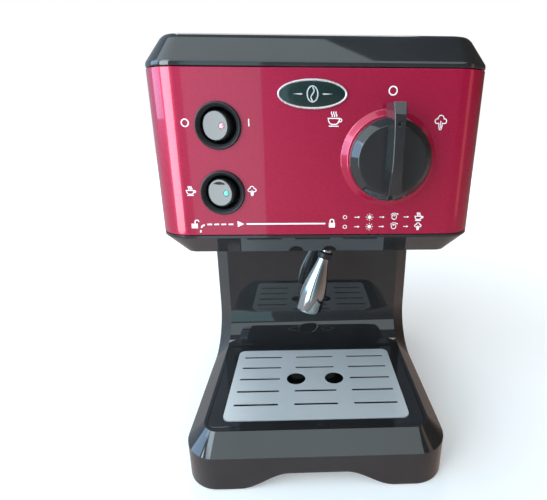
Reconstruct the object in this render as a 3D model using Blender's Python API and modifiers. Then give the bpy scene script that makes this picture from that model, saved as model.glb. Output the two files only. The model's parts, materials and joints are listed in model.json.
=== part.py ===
"""Pump espresso machine with a steam wand, a drip tray and a rear water tank.

All sizes are in metres and +Z is up.  The origin is on the table under the middle of the
footprint, the front faces -Y and +X is to the right of somebody facing the machine.
"""

import math

import bmesh
import bpy
from mathutils import Matrix, Vector

# ---------------------------------------------------------------- driving dimensions
WIDTH = 0.2035
BODY_DEPTH = 0.2675
KNOB_REACH = 0.0275               # knob's grip in front of the head
HEAD_SETBACK = 0.012              # head behind the front of the base
HEIGHT = 0.3148
HALF_WIDTH = WIDTH / 2
REAR = (BODY_DEPTH + KNOB_REACH - HEAD_SETBACK) / 2
FRONT = REAR - BODY_DEPTH
HEAD_FRONT = FRONT + HEAD_SETBACK
WALL = 0.003
GAP = 0.0003                      # air between two pieces that touch

# One-piece body: base, column and floor of the head
BODY_BOTTOM = 0.001
BASE_TOP = 0.0433
COLUMN_FRONT = FRONT + 0.1595
HEAD_FLOOR = 0.1835               # underside of the head
BODY_TOP = 0.1984
EDGE_CHAMFER = 0.0132
BASE_CORNER = 0.026
HEAD_CORNER = 0.021
REAR_CORNER = 0.020
BASE_FILLET = 0.030
HEAD_FILLET = 0.020
ARCH_SPAN = 0.110
ARCH_FLAT = 0.044
ARCH_HEIGHT = 0.014

# Rear bay that the water tank drops into
BAY_HALF = 0.080
BAY_FRONT = REAR - 0.065
BAY_FLOOR = 0.108

# Head shells
FASCIA_TOP = 0.2961
FASCIA_BACK = HEAD_FRONT + 0.073
FASCIA_THICKNESS = 0.0020
COVER_LIP = 0.0026
COVER_SHOULDER = 0.3123
COVER_INSET = 0.009
COVER_WALL = 0.0026

# Controls on the fascia
SWITCH_X = -0.0583
SWITCH_HEIGHTS = (0.2647, 0.2257)
SWITCH_TILT = math.radians(17)
SWITCH_PIVOT_DEPTH = 0.004
KNOB_X = 0.0418
KNOB_Z = 0.2461
KNOB_RADIUS = 0.0240
KNOB_FACE_RADIUS = 0.0194
KNOB_LENGTH = 0.0145
KNOB_BEVEL = 0.0050               # depth of the bevel round the knob's face
BOSS_RADIUS = 0.0285              # cone-shaped ring that the knob stands on
BOSS_TOP_RADIUS = 0.0248
BOSS_HEIGHT = 0.0034
SWITCH_HOLE_RADIUS = 0.0116
SPINDLE_RADIUS = 0.0030
SPINDLE_BORE = 0.0033
SPINDLE_HOLE_RADIUS = 0.0050
FIN_FOOT = 0.0060                 # depth at which the grip leaves the knob
FIN_EDGE = 0.0006
FIN_SECTIONS = (                  # height, depth of the ridge, half width at ridge and foot
    (-0.0182, 0.0242, 0.0037, 0.0053), (-0.0075, 0.0267, 0.0032, 0.0048),
    (0.0010, KNOB_REACH, 0.0029, 0.0043), (0.0090, KNOB_REACH, 0.0029, 0.0041),
    (0.0220, 0.0271, 0.0031, 0.0039), (0.0314, 0.0248, 0.0036, 0.0040))
BADGE_X = -0.0036
BADGE_Z = 0.2821
BADGE_HALF = (0.0200, 0.0082)

# Brew group and boiler
GROUP_Y = HEAD_FRONT + 0.066
GROUP_RADIUS = 0.034
GROUP_BOTTOM = 0.178
GROUP_PLATE = 0.1900              # top of the casting, where the boiler stands
GROUP_FLANGE = 0.1868             # underside of its flange
GROUP_FLANGE_REACH = 0.008
BAYONET_RADIUS = 0.0270
BAYONET_X = 0.0266
BOILER_RADIUS = 0.038
BOILER_SPLIT = 0.2125
BOILER_TOP = 0.234
BOILER_FLANGE = 0.004
THERMOSTAT_PLACES = ((-0.016, GROUP_Y + 0.012), (0.004, GROUP_Y + 0.018))

# Steam wand
WAND_BALL = Vector((0.0223, HEAD_FRONT + 0.115, 0.186))
WAND_LEAN = math.radians(15.8)
WAND_LENGTH = 0.1015
SLEEVE_RADIUS = 0.0129
BALL_RADIUS = 0.007

# Drip tray and grid
GRID_HALF = 0.0745
GRID_FRONT = HEAD_FRONT + 0.012
GRID_BACK = HEAD_FRONT + 0.1095
GRID_CORNER = 0.006
GRID_THICKNESS = 0.0016
GRID_TOP = 0.0437
SLOT_WIDTH = 0.0022
SLOT_PITCH = 0.01702
SLOT_COLUMNS = ((-0.0685, -0.0315), (-0.0185, 0.0185), (0.0315, 0.0685))
DRAIN_RADIUS = 0.0085
DRAIN_X = 0.0173
TRAY_HALF = 0.0855
TRAY_FRONT = FRONT + 0.0175
TRAY_BACK = FRONT + 0.1315
TRAY_FLANGE = 0.0020
TRAY_BOTTOM = 0.012
TRAY_WALL = 0.002
WELL_LEDGE = 0.0065               # strip of the base that carries the tray's flange
BOWL_LEDGE = 0.0080

# Water tank
TANK_HALF = 0.0775
TANK_FRONT = BAY_FRONT + 0.0025
TANK_REAR = REAR - 0.0025
TANK_BOTTOM = 0.1095
TANK_TOP = 0.2890
TANK_WALL = 0.0022
TANK_CORNER = 0.010
LID_HINGE_Y = REAR - 0.0085
LID_HINGE_Z = 0.2995
TANK_LUG_X = 0.040
LUG_HALF = (0.003, 0.0022)        # half thickness, half depth
OUTLET_Y = REAR - 0.033

# Underside
PLATE_BOTTOM = 0.004
PLATE_THICKNESS = 0.0025
FOOT_RADIUS = 0.009
FOOT_PLACES = [(x, y) for y in (FRONT + 0.040, REAR - 0.023) for x in (-0.078, 0.078)]
SCREW_PLACES = [(x, y) for y in (FRONT + 0.065, REAR - 0.047) for x in (-0.088, 0.088)]

# Pump, wiring and plumbing in the column
PUMP = Vector((-0.045, COLUMN_FRONT + 0.0195, 0.0))
PUMP_HALF = (0.021, 0.015)        # half width, half depth of the coil
COIL_LOW, COIL_HIGH = 0.086, 0.134
DAMPER_HEIGHTS = (("lower", 0.070), ("upper", 0.146))
BRACKET_LOW, BRACKET_HIGH = 0.072, 0.150
HOSE_RADIUS = 0.0035
PIPE_RADIUS = 0.0022
TERMINAL_LOW = Vector((0.030, COLUMN_FRONT + 0.0115, 0.060))
TERMINAL_SIZE = Vector((0.032, 0.014, 0.018))
CORD_GLAND = Vector((0.070, REAR, 0.030))
CORD_HOLE_RADIUS = 0.0083
VENT_MIDDLE = Vector((-0.020, REAR, 0.065))
VENT_SIZE = (0.060, 0.0025)
VENT_ROWS = 5
VENT_PITCH = 0.007

PARTS = "espresso_machine"
CUTTERS = "cutters"


# ---------------------------------------------------------------- scene and materials
def clear_scene():
    for item in list(bpy.data.objects):
        bpy.data.objects.remove(item, do_unlink=True)
    for name in (PARTS, CUTTERS):
        collection = bpy.data.collections.new(name)
        bpy.context.scene.collection.children.link(collection)


def material(name, color, roughness, metallic=0.0, alpha=1.0):
    item = bpy.data.materials.new(name)
    item.use_nodes = True
    shader = item.node_tree.nodes["Principled BSDF"]
    shader.inputs["Base Color"].default_value = (*color, 1.0)
    shader.inputs["Roughness"].default_value = roughness
    shader.inputs["Metallic"].default_value = metallic
    shader.inputs["Alpha"].default_value = alpha
    item.diffuse_color = (*color, alpha)
    return item


def make_materials():
    return {
        "gloss_black": material("gloss_black", (0.012, 0.013, 0.015), 0.12),
        "satin_black": material("satin_black", (0.016, 0.017, 0.018), 0.40),
        "crimson": material("crimson", (0.36, 0.006, 0.035), 0.16, 0.35),
        "silver_steel": material("silver_steel", (0.62, 0.63, 0.65), 0.38, 0.85),
        "chrome": material("chrome", (0.70, 0.71, 0.73), 0.10, 1.0),
        "aluminium": material("aluminium", (0.60, 0.61, 0.62), 0.45, 0.9),
        "brass": material("brass", (0.62, 0.45, 0.18), 0.30, 1.0),
        "badge_green": material("badge_green", (0.010, 0.045, 0.035), 0.20),
        "red_lens": material("red_lens", (0.75, 0.05, 0.05), 0.10),
        "green_lens": material("green_lens", (0.03, 0.55, 0.38), 0.10),
        "rubber": material("rubber", (0.020, 0.020, 0.021), 0.85),
        "silicone": material("silicone", (0.72, 0.72, 0.70), 0.55),
        "smoked_plastic": material("smoked_plastic", (0.10, 0.11, 0.12), 0.10, 0.0, 0.45),
        "coil_plastic": material("coil_plastic", (0.05, 0.05, 0.06), 0.55),
    }


# ---------------------------------------------------------------- modelling helpers
def link(name, mesh, collection=PARTS):
    item = bpy.data.objects.new(name, mesh)
    bpy.data.collections[collection].objects.link(item)
    if collection == CUTTERS:
        item.hide_render = True
        item.display_type = "WIRE"
    return item


def finish_bmesh(name, bm, collection=PARTS):
    bmesh.ops.recalc_face_normals(bm, faces=bm.faces)
    mesh = bpy.data.meshes.new(name)
    bm.to_mesh(mesh)
    bm.free()
    return link(name, mesh, collection)


def smooth(item, angle=35):
    item.data.shade_smooth()
    item.data.set_sharp_from_angle(angle=math.radians(angle))
    return item


def boolean(target, tool, operation="DIFFERENCE"):
    modifier = target.modifiers.new(tool.name, "BOOLEAN")
    modifier.operation = operation
    modifier.object = tool
    modifier.solver = "EXACT"
    return target


def block(name, low, high, collection=PARTS, radius=0.0, upright_only=False, steps=3):
    """A box between two corners; radius rounds every edge, or only the upright ones."""
    low, high = Vector(low), Vector(high)
    bm = bmesh.new()
    bmesh.ops.create_cube(bm, size=1.0)
    bmesh.ops.scale(bm, vec=high - low, verts=bm.verts)
    bmesh.ops.translate(bm, vec=(low + high) / 2, verts=bm.verts)
    if radius:
        edges = list(bm.edges)
        if upright_only:
            edges = [e for e in edges if abs(e.verts[0].co.z - e.verts[1].co.z) > 1e-6]
        bmesh.ops.bevel(bm, geom=edges, offset=radius, segments=steps, profile=0.5,
                        affect="EDGES")
    return finish_bmesh(name, bm, collection)


def turned(name, profile, centre, turn=(0.0, 0.0, 0.0), steps=24, closed=False,
           collection=PARTS):
    """Revolve (radius, height) points, listed down the outer side, about local Z."""
    count = len(profile)
    edges = [(i, i + 1) for i in range(count - 1)]
    if closed:
        edges.append((count - 1, 0))
    mesh = bpy.data.meshes.new(name)
    mesh.from_pydata([(radius, 0.0, height) for radius, height in profile], edges, [])
    item = link(name, mesh, collection)
    item.location = centre
    item.rotation_euler = turn
    screw = item.modifiers.new("Screw", "SCREW")
    screw.steps = steps
    screw.render_steps = steps
    screw.use_merge_vertices = True
    screw.merge_threshold = 0.00001
    screw.use_smooth_shade = True
    return item


def arc(centre, radius, start, end, steps):
    """Points on an arc of a circle, angles in degrees."""
    angles = [math.radians(start + (end - start) * i / steps) for i in range(steps + 1)]
    return [(centre[0] + radius * math.cos(a), centre[1] + radius * math.sin(a))
            for a in angles]


def rounded_rectangle(low, high, radii, steps=4):
    """Corner radii run front right, rear right, rear left, front left."""
    corners = ((high[0], low[1], -90), (high[0], high[1], 0),
               (low[0], high[1], 90), (low[0], low[1], 180))
    signs = ((-1, 1), (-1, -1), (1, -1), (1, 1))
    points = []
    for (x, y, start), (sx, sy), radius in zip(corners, signs, radii):
        points += arc((x + sx * radius, y + sy * radius), radius, start, start + 90, steps)
    return points


def curve_mesh(name, curve, matrix, collection=PARTS):
    """Turn a curve into a welded mesh object that Booleans accept."""
    source = bpy.data.objects.new(name + "_curve", curve)
    bpy.context.scene.collection.objects.link(source)
    source.matrix_world = matrix
    bpy.context.view_layer.update()
    graph = bpy.context.evaluated_depsgraph_get()
    mesh = bpy.data.meshes.new_from_object(source.evaluated_get(graph))
    bm = bmesh.new()
    bm.from_mesh(mesh)
    bmesh.ops.remove_doubles(bm, verts=bm.verts, dist=0.000001)
    bmesh.ops.recalc_face_normals(bm, faces=bm.faces)
    bm.to_mesh(mesh)
    bm.free()
    item = link(name, mesh, collection)
    item.matrix_world = source.matrix_world.copy()
    bpy.data.objects.remove(source, do_unlink=True)
    return item


def sheet(name, outlines, low, high, plane="XY", collection=PARTS):
    """Flat outlines (the first is the edge, the rest are holes) as a plate.

    plane XY is extruded along Z, plane XZ along Y; low and high are the faces.
    """
    curve = bpy.data.curves.new(name, "CURVE")
    curve.dimensions = "2D"
    curve.fill_mode = "BOTH"
    curve.extrude = (high - low) / 2
    for points in outlines:
        spline = curve.splines.new("POLY")
        spline.points.add(len(points) - 1)
        for point, (x, y) in zip(spline.points, points):
            point.co = (x, y, 0.0, 1.0)
        spline.use_cyclic_u = True
    middle = (low + high) / 2
    if plane == "XY":
        matrix = Matrix.Translation((0.0, 0.0, middle))
    else:
        matrix = Matrix.Translation((0.0, middle, 0.0)) @ Matrix.Rotation(math.pi / 2, 4, "X")
    return curve_mesh(name, curve, matrix, collection)


def tube(name, points, radius, resolution=2):
    """A pipe or hose along a smooth curve through the points."""
    curve = bpy.data.curves.new(name, "CURVE")
    curve.dimensions = "3D"
    curve.bevel_depth = radius
    curve.bevel_resolution = resolution
    curve.use_fill_caps = True
    fine = smooth_path([Vector(p) for p in points])
    spline = curve.splines.new("POLY")
    spline.points.add(len(fine) - 1)
    for point, place in zip(spline.points, fine):
        point.co = (*place, 1.0)
    return smooth(curve_mesh(name, curve, Matrix.Identity(4)), 50)


def smooth_path(points, steps=3):
    """Catmull-Rom points through a short list of places."""
    padded = [2 * points[0] - points[1], *points, 2 * points[-1] - points[-2]]
    path = []
    for a, b, c, d in zip(padded, padded[1:], padded[2:], padded[3:]):
        for i in range(steps):
            t = i / steps
            path.append(0.5 * (2 * b + (c - a) * t + (2 * a - 5 * b + 4 * c - d) * t ** 2
                               + (3 * b - a - 3 * c + d) * t ** 3))
    return path + [points[-1]]


def loft(name, rings, collection=PARTS):
    """A closed solid through rings of equally many points, bottom ring first."""
    bm = bmesh.new()
    rows = [[bm.verts.new(point) for point in ring] for ring in rings]
    count = len(rings[0])
    for lower, upper in zip(rows, rows[1:]):
        for i in range(count):
            j = (i + 1) % count
            bm.faces.new((lower[i], lower[j], upper[j], upper[i]))
    bm.faces.new(reversed(rows[0]))
    bm.faces.new(rows[-1])
    return finish_bmesh(name, bm, collection)


def paint(item, finish):
    item.data.materials.clear()
    item.data.materials.append(finish)
    return item


# ---------------------------------------------------------------- body
def body_profile(inset, bottom, top):
    """Side view of the body as (y, z) points, and the number of its inner (arch) faces."""
    base_top = BASE_TOP - inset
    column = COLUMN_FRONT + inset
    floor = HEAD_FLOOR + inset
    low_fillet = arc((COLUMN_FRONT - BASE_FILLET, BASE_TOP + BASE_FILLET),
                     BASE_FILLET + inset, -90, 0, 6)
    high_fillet = arc((COLUMN_FRONT - HEAD_FILLET, HEAD_FLOOR - HEAD_FILLET),
                      HEAD_FILLET + inset, 0, 90, 5)
    inner = [(FRONT + inset, base_top), *low_fillet, *high_fillet,
             (HEAD_FRONT + inset, floor)]
    outer = [(HEAD_FRONT + inset, top), (REAR - inset, top), (REAR - inset, bottom),
             (FRONT + inset, bottom)]
    return inner + outer, len(inner) - 1


def body_solid(name, inset, bottom, top, collection):
    """The C-shaped body drawn across the width, its long inner edges chamfered."""
    points, inner_faces = body_profile(inset, bottom, top)
    half = HALF_WIDTH - inset
    bm = bmesh.new()
    left = [bm.verts.new((-half, y, z)) for y, z in points]
    right = [bm.verts.new((half, y, z)) for y, z in points]
    bm.faces.new(left)
    bm.faces.new(reversed(right))
    count = len(points)
    for i in range(count):
        j = (i + 1) % count
        face = bm.faces.new((left[i], right[i], right[j], left[j]))
        face.material_index = 1 if i < inner_faces else 0
    bmesh.ops.recalc_face_normals(bm, faces=bm.faces)
    for y, radius in ((FRONT + inset, BASE_CORNER), (HEAD_FRONT + inset, HEAD_CORNER),
                      (REAR - inset, REAR_CORNER)):
        edges = [e for e in bm.edges if all(abs(v.co.y - y) < 1e-6 for v in e.verts)
                 and abs(e.verts[0].co.x - e.verts[1].co.x) < 1e-6]
        bmesh.ops.bevel(bm, geom=edges, offset=radius - inset, segments=5, profile=0.5,
                        affect="EDGES")
    rim = [e for e in bm.edges if sum(f.material_index for f in e.link_faces) == 1]
    bmesh.ops.bevel(bm, geom=rim, offset=EDGE_CHAMFER - inset * (2 - math.sqrt(2)),
                    segments=1, affect="EDGES")
    for face in bm.faces:
        face.material_index = 0
    return finish_bmesh(name, bm, collection)


def arch_cutter():
    """The shallow arch under the front edge, with S-curved ends."""
    steps = 8
    rise = []
    for i in range(steps + 1):
        t = i / steps
        x = -ARCH_SPAN / 2 + (ARCH_SPAN - ARCH_FLAT) / 2 * t
        z = ARCH_HEIGHT * (1 - math.cos(math.pi * t)) / 2
        rise.append((x, BODY_BOTTOM + z))
    fall = [(-x, z) for x, z in reversed(rise)]
    floor = [(ARCH_SPAN / 2, -0.01), (-ARCH_SPAN / 2, -0.01)]
    return sheet("arch_cutter", [rise + fall + floor], FRONT - 0.005, FRONT + 0.008,
                 "XZ", CUTTERS)


def bay_block(name, grow, low, high):
    return block(name, (-BAY_HALF - grow, BAY_FRONT - grow, low),
                 (BAY_HALF + grow, REAR + 0.01, high), CUTTERS)


def slot_grid(name, centre, size, rows, pitch, along_y):
    """Cutters for a stack of equal slots; returned as a list."""
    cutters = []
    for i in range(rows):
        z = centre[2] + (i - (rows - 1) / 2) * pitch
        low = (centre[0] - size[0] / 2, centre[1] - along_y / 2, z - size[1] / 2)
        high = (centre[0] + size[0] / 2, centre[1] + along_y / 2, z + size[1] / 2)
        cutters.append(block(f"{name}_{i}", low, high, CUTTERS))
    return cutters


def make_body(finish):
    body = body_solid("body_housing", 0.0, BODY_BOTTOM, BODY_TOP, PARTS)
    cavity = body_solid("body_cavity", WALL, -0.01, BODY_TOP + 0.01, CUTTERS)
    boolean(cavity, bay_block("bay_walls", WALL, BAY_FLOOR - WALL, BODY_TOP + 0.02))
    boolean(body, cavity)
    boolean(body, bay_block("bay_space", 0.0, BAY_FLOOR, BODY_TOP + 0.02))
    boolean(body, arch_cutter())
    recess = block("tray_recess", (-TRAY_HALF - GAP, TRAY_FRONT - GAP, BASE_TOP - 0.0023),
                   (TRAY_HALF + GAP, TRAY_BACK + GAP, BASE_TOP + 0.003), CUTTERS,
                   0.006, True)
    well = block("tray_well", (-TRAY_HALF + WELL_LEDGE, TRAY_FRONT + WELL_LEDGE,
                               BASE_TOP - 0.01),
                 (TRAY_HALF - WELL_LEDGE, TRAY_BACK - WELL_LEDGE, BASE_TOP + 0.003),
                 CUTTERS, 0.008, True)
    boolean(body, recess)
    boolean(body, well)
    group_hole = turned("group_hole", [(0, 0.02), (GROUP_RADIUS + 0.0006, 0.02),
                                       (GROUP_RADIUS + 0.0006, -0.02), (0, -0.02)],
                        (0.0, GROUP_Y, HEAD_FLOOR), collection=CUTTERS)
    wand_hole = turned("wand_hole", [(0, 0.01), (0.0091, 0.01), (0.0091, -0.01), (0, -0.01)],
                       (WAND_BALL.x, WAND_BALL.y, HEAD_FLOOR), collection=CUTTERS)
    outlet = turned("outlet_hole", [(0, 0.01), (0.009, 0.01), (0.009, -0.01), (0, -0.01)],
                    (0.0, OUTLET_Y, BAY_FLOOR), collection=CUTTERS)
    cord = turned("cord_hole", [(0, 0.01), (CORD_HOLE_RADIUS, 0.01),
                                (CORD_HOLE_RADIUS, -0.01), (0, -0.01)],
                  CORD_GLAND, (math.pi / 2, 0, 0), 20, collection=CUTTERS)
    for tool in (group_hole, wand_hole, outlet, cord):
        boolean(body, tool)
    for tool in slot_grid("vent", VENT_MIDDLE, VENT_SIZE, VENT_ROWS, VENT_PITCH, 0.02):
        boolean(body, tool)
    return paint(body, finish["gloss_black"])


def make_base_plate(finish):
    low, high = (-HALF_WIDTH + WALL + 0.0005, FRONT + 0.018), \
        (HALF_WIDTH - WALL - 0.0005, REAR - WALL - 0.0005)
    outline = rounded_rectangle(low, high, (0.010, 0.017, 0.017, 0.010))
    holes = [arc(place, 0.0019, 0, 330, 11) for place in SCREW_PLACES]
    plate = sheet("base_plate", [outline, *holes], PLATE_BOTTOM,
                  PLATE_BOTTOM + PLATE_THICKNESS)
    paint(plate, finish["satin_black"])
    for i, (x, y) in enumerate(FOOT_PLACES):
        top = PLATE_BOTTOM - GAP
        foot = turned(f"rubber_foot_{i + 1}",
                      [(0, top), (FOOT_RADIUS, top), (FOOT_RADIUS, 0.0008),
                       (FOOT_RADIUS - 0.0008, 0), (0, 0)], (x, y, 0), steps=20)
        paint(foot, finish["rubber"])
    for i, (x, y) in enumerate(SCREW_PLACES):
        screw = turned(f"base_screw_{i + 1}",
                       [(0, 0.0105), (0.0012, 0.010), (0.0015, 0.0037), (0.0032, 0.0037),
                        (0.0030, 0.0020), (0.0015, 0.0016), (0, 0.0020)],
                       (x, y, 0), steps=10)
        paint(screw, finish["silver_steel"])


# ---------------------------------------------------------------- head shells
def make_fascia(finish):
    """Painted front that wraps round both corners, with a raised ring behind the knob."""
    low, high = BODY_TOP + GAP, FASCIA_TOP
    x, back = HALF_WIDTH, FASCIA_BACK
    outer = [(-x, back), *arc((-x + HEAD_CORNER, HEAD_FRONT + HEAD_CORNER),
                              HEAD_CORNER, 180, 270, 8),
             *arc((x - HEAD_CORNER, HEAD_FRONT + HEAD_CORNER), HEAD_CORNER, 270, 360, 8),
             (x, back)]
    x -= FASCIA_THICKNESS
    front = HEAD_FRONT + FASCIA_THICKNESS
    corner = HEAD_CORNER - FASCIA_THICKNESS
    inner = [(x, back), *arc((x - corner, front + corner), corner, 360, 270, 8),
             *arc((-x + corner, front + corner), corner, 270, 180, 8), (-x, back)]
    fascia = sheet("front_fascia", [outer + inner], low, high)
    boss = turned("fascia_boss", [(0.0, BOSS_HEIGHT), (BOSS_TOP_RADIUS, BOSS_HEIGHT),
                                  (BOSS_RADIUS, 0.0), (BOSS_RADIUS, -0.0015), (0.0, -0.0015)],
                  (KNOB_X, HEAD_FRONT, KNOB_Z), (math.pi / 2, 0, 0), 40,
                  collection=CUTTERS)
    boolean(fascia, boss, "UNION")
    places = [(SWITCH_X, z, SWITCH_HOLE_RADIUS) for z in SWITCH_HEIGHTS]
    places.append((KNOB_X, KNOB_Z, SPINDLE_HOLE_RADIUS))
    for i, (px, pz, radius) in enumerate(places):
        hole = turned(f"fascia_hole_{i}", [(0, 0.01), (radius, 0.01), (radius, -0.01),
                                           (0, -0.01)],
                      (px, HEAD_FRONT, pz), (math.pi / 2, 0, 0), collection=CUTTERS)
        boolean(fascia, hole)
    return paint(fascia, finish["crimson"])


def make_head_housing(finish):
    """Black rear half of the head with the upper part of the tank bay."""
    low, high = BODY_TOP + GAP, FASCIA_TOP
    front = FASCIA_BACK + GAP

    def section(inset, start):
        return rounded_rectangle((-HALF_WIDTH + inset, start),
                                 (HALF_WIDTH - inset, REAR - inset),
                                 (0.0001, REAR_CORNER - inset, REAR_CORNER - inset, 0.0001))

    head = sheet("head_housing", [section(0.0, front)], low, high)
    space = sheet("head_space", [section(WALL, front - 0.02)], low - 0.01, high + 0.01,
                  "XY", CUTTERS)
    boolean(space, bay_block("head_bay_walls", WALL, low - 0.02, high + 0.02))
    boolean(head, space)
    boolean(head, bay_block("head_bay_space", 0.0, low - 0.02, high + 0.02))
    return paint(head, finish["gloss_black"])


def cover_rings(inset, bottom, top):
    """Plan rings of the top cover from its lip up to the crown."""
    steps = [(bottom, 0.0), (FASCIA_TOP + GAP + COVER_LIP, 0.0),
             (COVER_SHOULDER, COVER_INSET), (top - 0.0006, COVER_INSET + 0.0022),
             (top, COVER_INSET + 0.0050)]
    rings = []
    for z, step in steps:
        pull = inset + step
        corners = (HEAD_CORNER - pull * 0.8,) * 4
        outline = rounded_rectangle((-HALF_WIDTH + pull, HEAD_FRONT + pull),
                                    (HALF_WIDTH - pull, REAR - pull), corners, 5)
        drop = inset if step else 0.0
        rings.append([(x, y, z - drop) for x, y in outline])
    return rings


def make_top_cover(finish):
    bottom = FASCIA_TOP + GAP
    cover = loft("top_cover", cover_rings(0.0, bottom, HEIGHT))
    hollow = loft("cover_hollow", cover_rings(COVER_WALL, bottom - 0.005, HEIGHT), CUTTERS)
    boolean(cover, hollow)
    rest = block("cup_rest", (-0.078, HEAD_FRONT + 0.025, HEIGHT - 0.0012),
                 (0.078, BAY_FRONT - 0.014, HEIGHT + 0.01),
                 CUTTERS, 0.008, True)
    boolean(cover, rest)
    boolean(cover, block("cover_notch", (-BAY_HALF, BAY_FRONT, bottom - 0.01),
                         (BAY_HALF, REAR + 0.01, HEIGHT + 0.01), CUTTERS))
    return paint(cover, finish["gloss_black"])


def make_badge(finish):
    """Plain oval badge: a bright rim round a dark blank plate."""
    def oval(grow):
        return [(BADGE_X + (BADGE_HALF[0] + grow) * math.cos(a),
                 BADGE_Z + (BADGE_HALF[1] + grow) * math.sin(a))
                for a in (2 * math.pi * i / 36 for i in range(36))]

    rim = sheet("badge_rim", [oval(0.0), oval(-0.0013)], HEAD_FRONT - 0.0018,
                HEAD_FRONT - GAP, "XZ")
    plate = sheet("badge_plate", [oval(-0.0013 - GAP)], HEAD_FRONT - 0.0013,
                  HEAD_FRONT - GAP, "XZ")
    paint(rim, finish["chrome"])
    paint(plate, finish["badge_green"])


# ---------------------------------------------------------------- switches and knob
def make_switch(label, z, lens_finish, finish):
    facing = (math.pi / 2, 0, 0)
    centre = (SWITCH_X, HEAD_FRONT, z)
    bezel = turned(f"{label}_bezel",
                   [(0.0104, -0.0020), (0.0106, -0.0004), (0.0124, 0.0022),
                    (0.0130, 0.0021), (0.0135, 0.0010), (0.0135, GAP), (0.0113, GAP),
                    (0.0113, -0.0150), (0.0104, -0.0150)], centre, facing, 28, True)
    paint(bezel, finish["satin_black"])
    housing = block(f"{label}_switch_body", (SWITCH_X - 0.0105, HEAD_FRONT + 0.0155, z - 0.0105),
                    (SWITCH_X + 0.0105, HEAD_FRONT + 0.033, z + 0.0105), PARTS, 0.001)
    paint(housing, finish["coil_plastic"])
    pivot = (SWITCH_X, HEAD_FRONT + SWITCH_PIVOT_DEPTH, z)
    tilt = (math.pi / 2, 0, -SWITCH_TILT)
    rocker = turned(f"{label}_rocker",
                    [(0, 0.0052), (0.0078, 0.0055), (0.0086, 0.0048), (0.0088, -0.0010),
                     (0.0070, -0.0050), (0, -0.0050)], pivot, tilt, 28)
    lens_x = 0.0042
    seat = turned(f"{label}_lens_seat", [(0, 0.01), (0.0020, 0.01), (0.0020, 0.0040),
                                         (0, 0.0040)], pivot, tilt, 14, collection=CUTTERS)
    shift_along(seat, lens_x)
    boolean(rocker, seat)
    paint(rocker, finish["gloss_black"])
    lens = turned(f"{label}_lens", [(0, 0.0062), (0.0011, 0.0060), (0.0017, 0.0055),
                                    (0.0017, 0.0043), (0, 0.0043)], pivot, tilt, 14)
    shift_along(lens, lens_x)
    paint(lens, finish[lens_finish])


def shift_along(item, distance):
    """Move the mesh sideways while its origin stays on the pivot."""
    turn = item.rotation_euler.to_matrix()
    item.location = Vector(item.location) + turn @ Vector((distance, 0, 0))


def make_knob(finish):
    centre = (KNOB_X, HEAD_FRONT, KNOB_Z)
    facing = (math.pi / 2, 0, 0)
    r, face = KNOB_RADIUS, KNOB_FACE_RADIUS
    back = BOSS_HEIGHT + 0.0004
    knob = turned("steam_knob",
                  [(0, KNOB_LENGTH), (face, KNOB_LENGTH), (face + 0.0008, KNOB_LENGTH - 0.0006),
                   (r - 0.0006, KNOB_LENGTH - KNOB_BEVEL + 0.0005),
                   (r, KNOB_LENGTH - KNOB_BEVEL - 0.0008), (r, back), (0, back)],
                  centre, facing, 40)
    fin = fin_block("knob_fin", CUTTERS)
    boolean(knob, fin, "UNION")
    bore = turned("knob_bore", [(0, 0.0125), (SPINDLE_BORE, 0.0125), (SPINDLE_BORE, -0.005),
                                 (0, -0.005)],
                  centre, facing, 16, collection=CUTTERS)
    boolean(knob, bore)
    paint(knob, finish["satin_black"])
    spindle = turned("knob_spindle",
                     [(0, 0.0120), (SPINDLE_RADIUS, 0.0120), (SPINDLE_RADIUS, -0.0270),
                      (0, -0.0270)],
                     centre, facing, 16)
    paint(spindle, finish["brass"])
    valve = block("steam_valve", (KNOB_X - 0.012, HEAD_FRONT + 0.020, KNOB_Z - 0.012),
                  (KNOB_X + 0.012, HEAD_FRONT + 0.052, KNOB_Z + 0.012), PARTS, 0.002)
    valve_bore = turned("valve_bore", [(0, 0.0), (SPINDLE_BORE, 0.0), (SPINDLE_BORE, -0.0285),
                                       (0, -0.0285)], centre, facing, 16, collection=CUTTERS)
    boolean(valve, valve_bore)
    paint(valve, finish["brass"])


def fin_block(name, collection):
    """Grip across the knob face, waisted in the middle and with a gently arched ridge."""
    rings = []
    for z, depth, half, foot in FIN_SECTIONS:
        corners = ((-foot, FIN_FOOT), (-half, depth - FIN_EDGE), (-half + FIN_EDGE, depth),
                   (half - FIN_EDGE, depth), (half, depth - FIN_EDGE), (foot, FIN_FOOT))
        rings.append([(KNOB_X + x, HEAD_FRONT - reach, KNOB_Z + z) for x, reach in corners])
    return loft(name, rings, collection)


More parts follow.
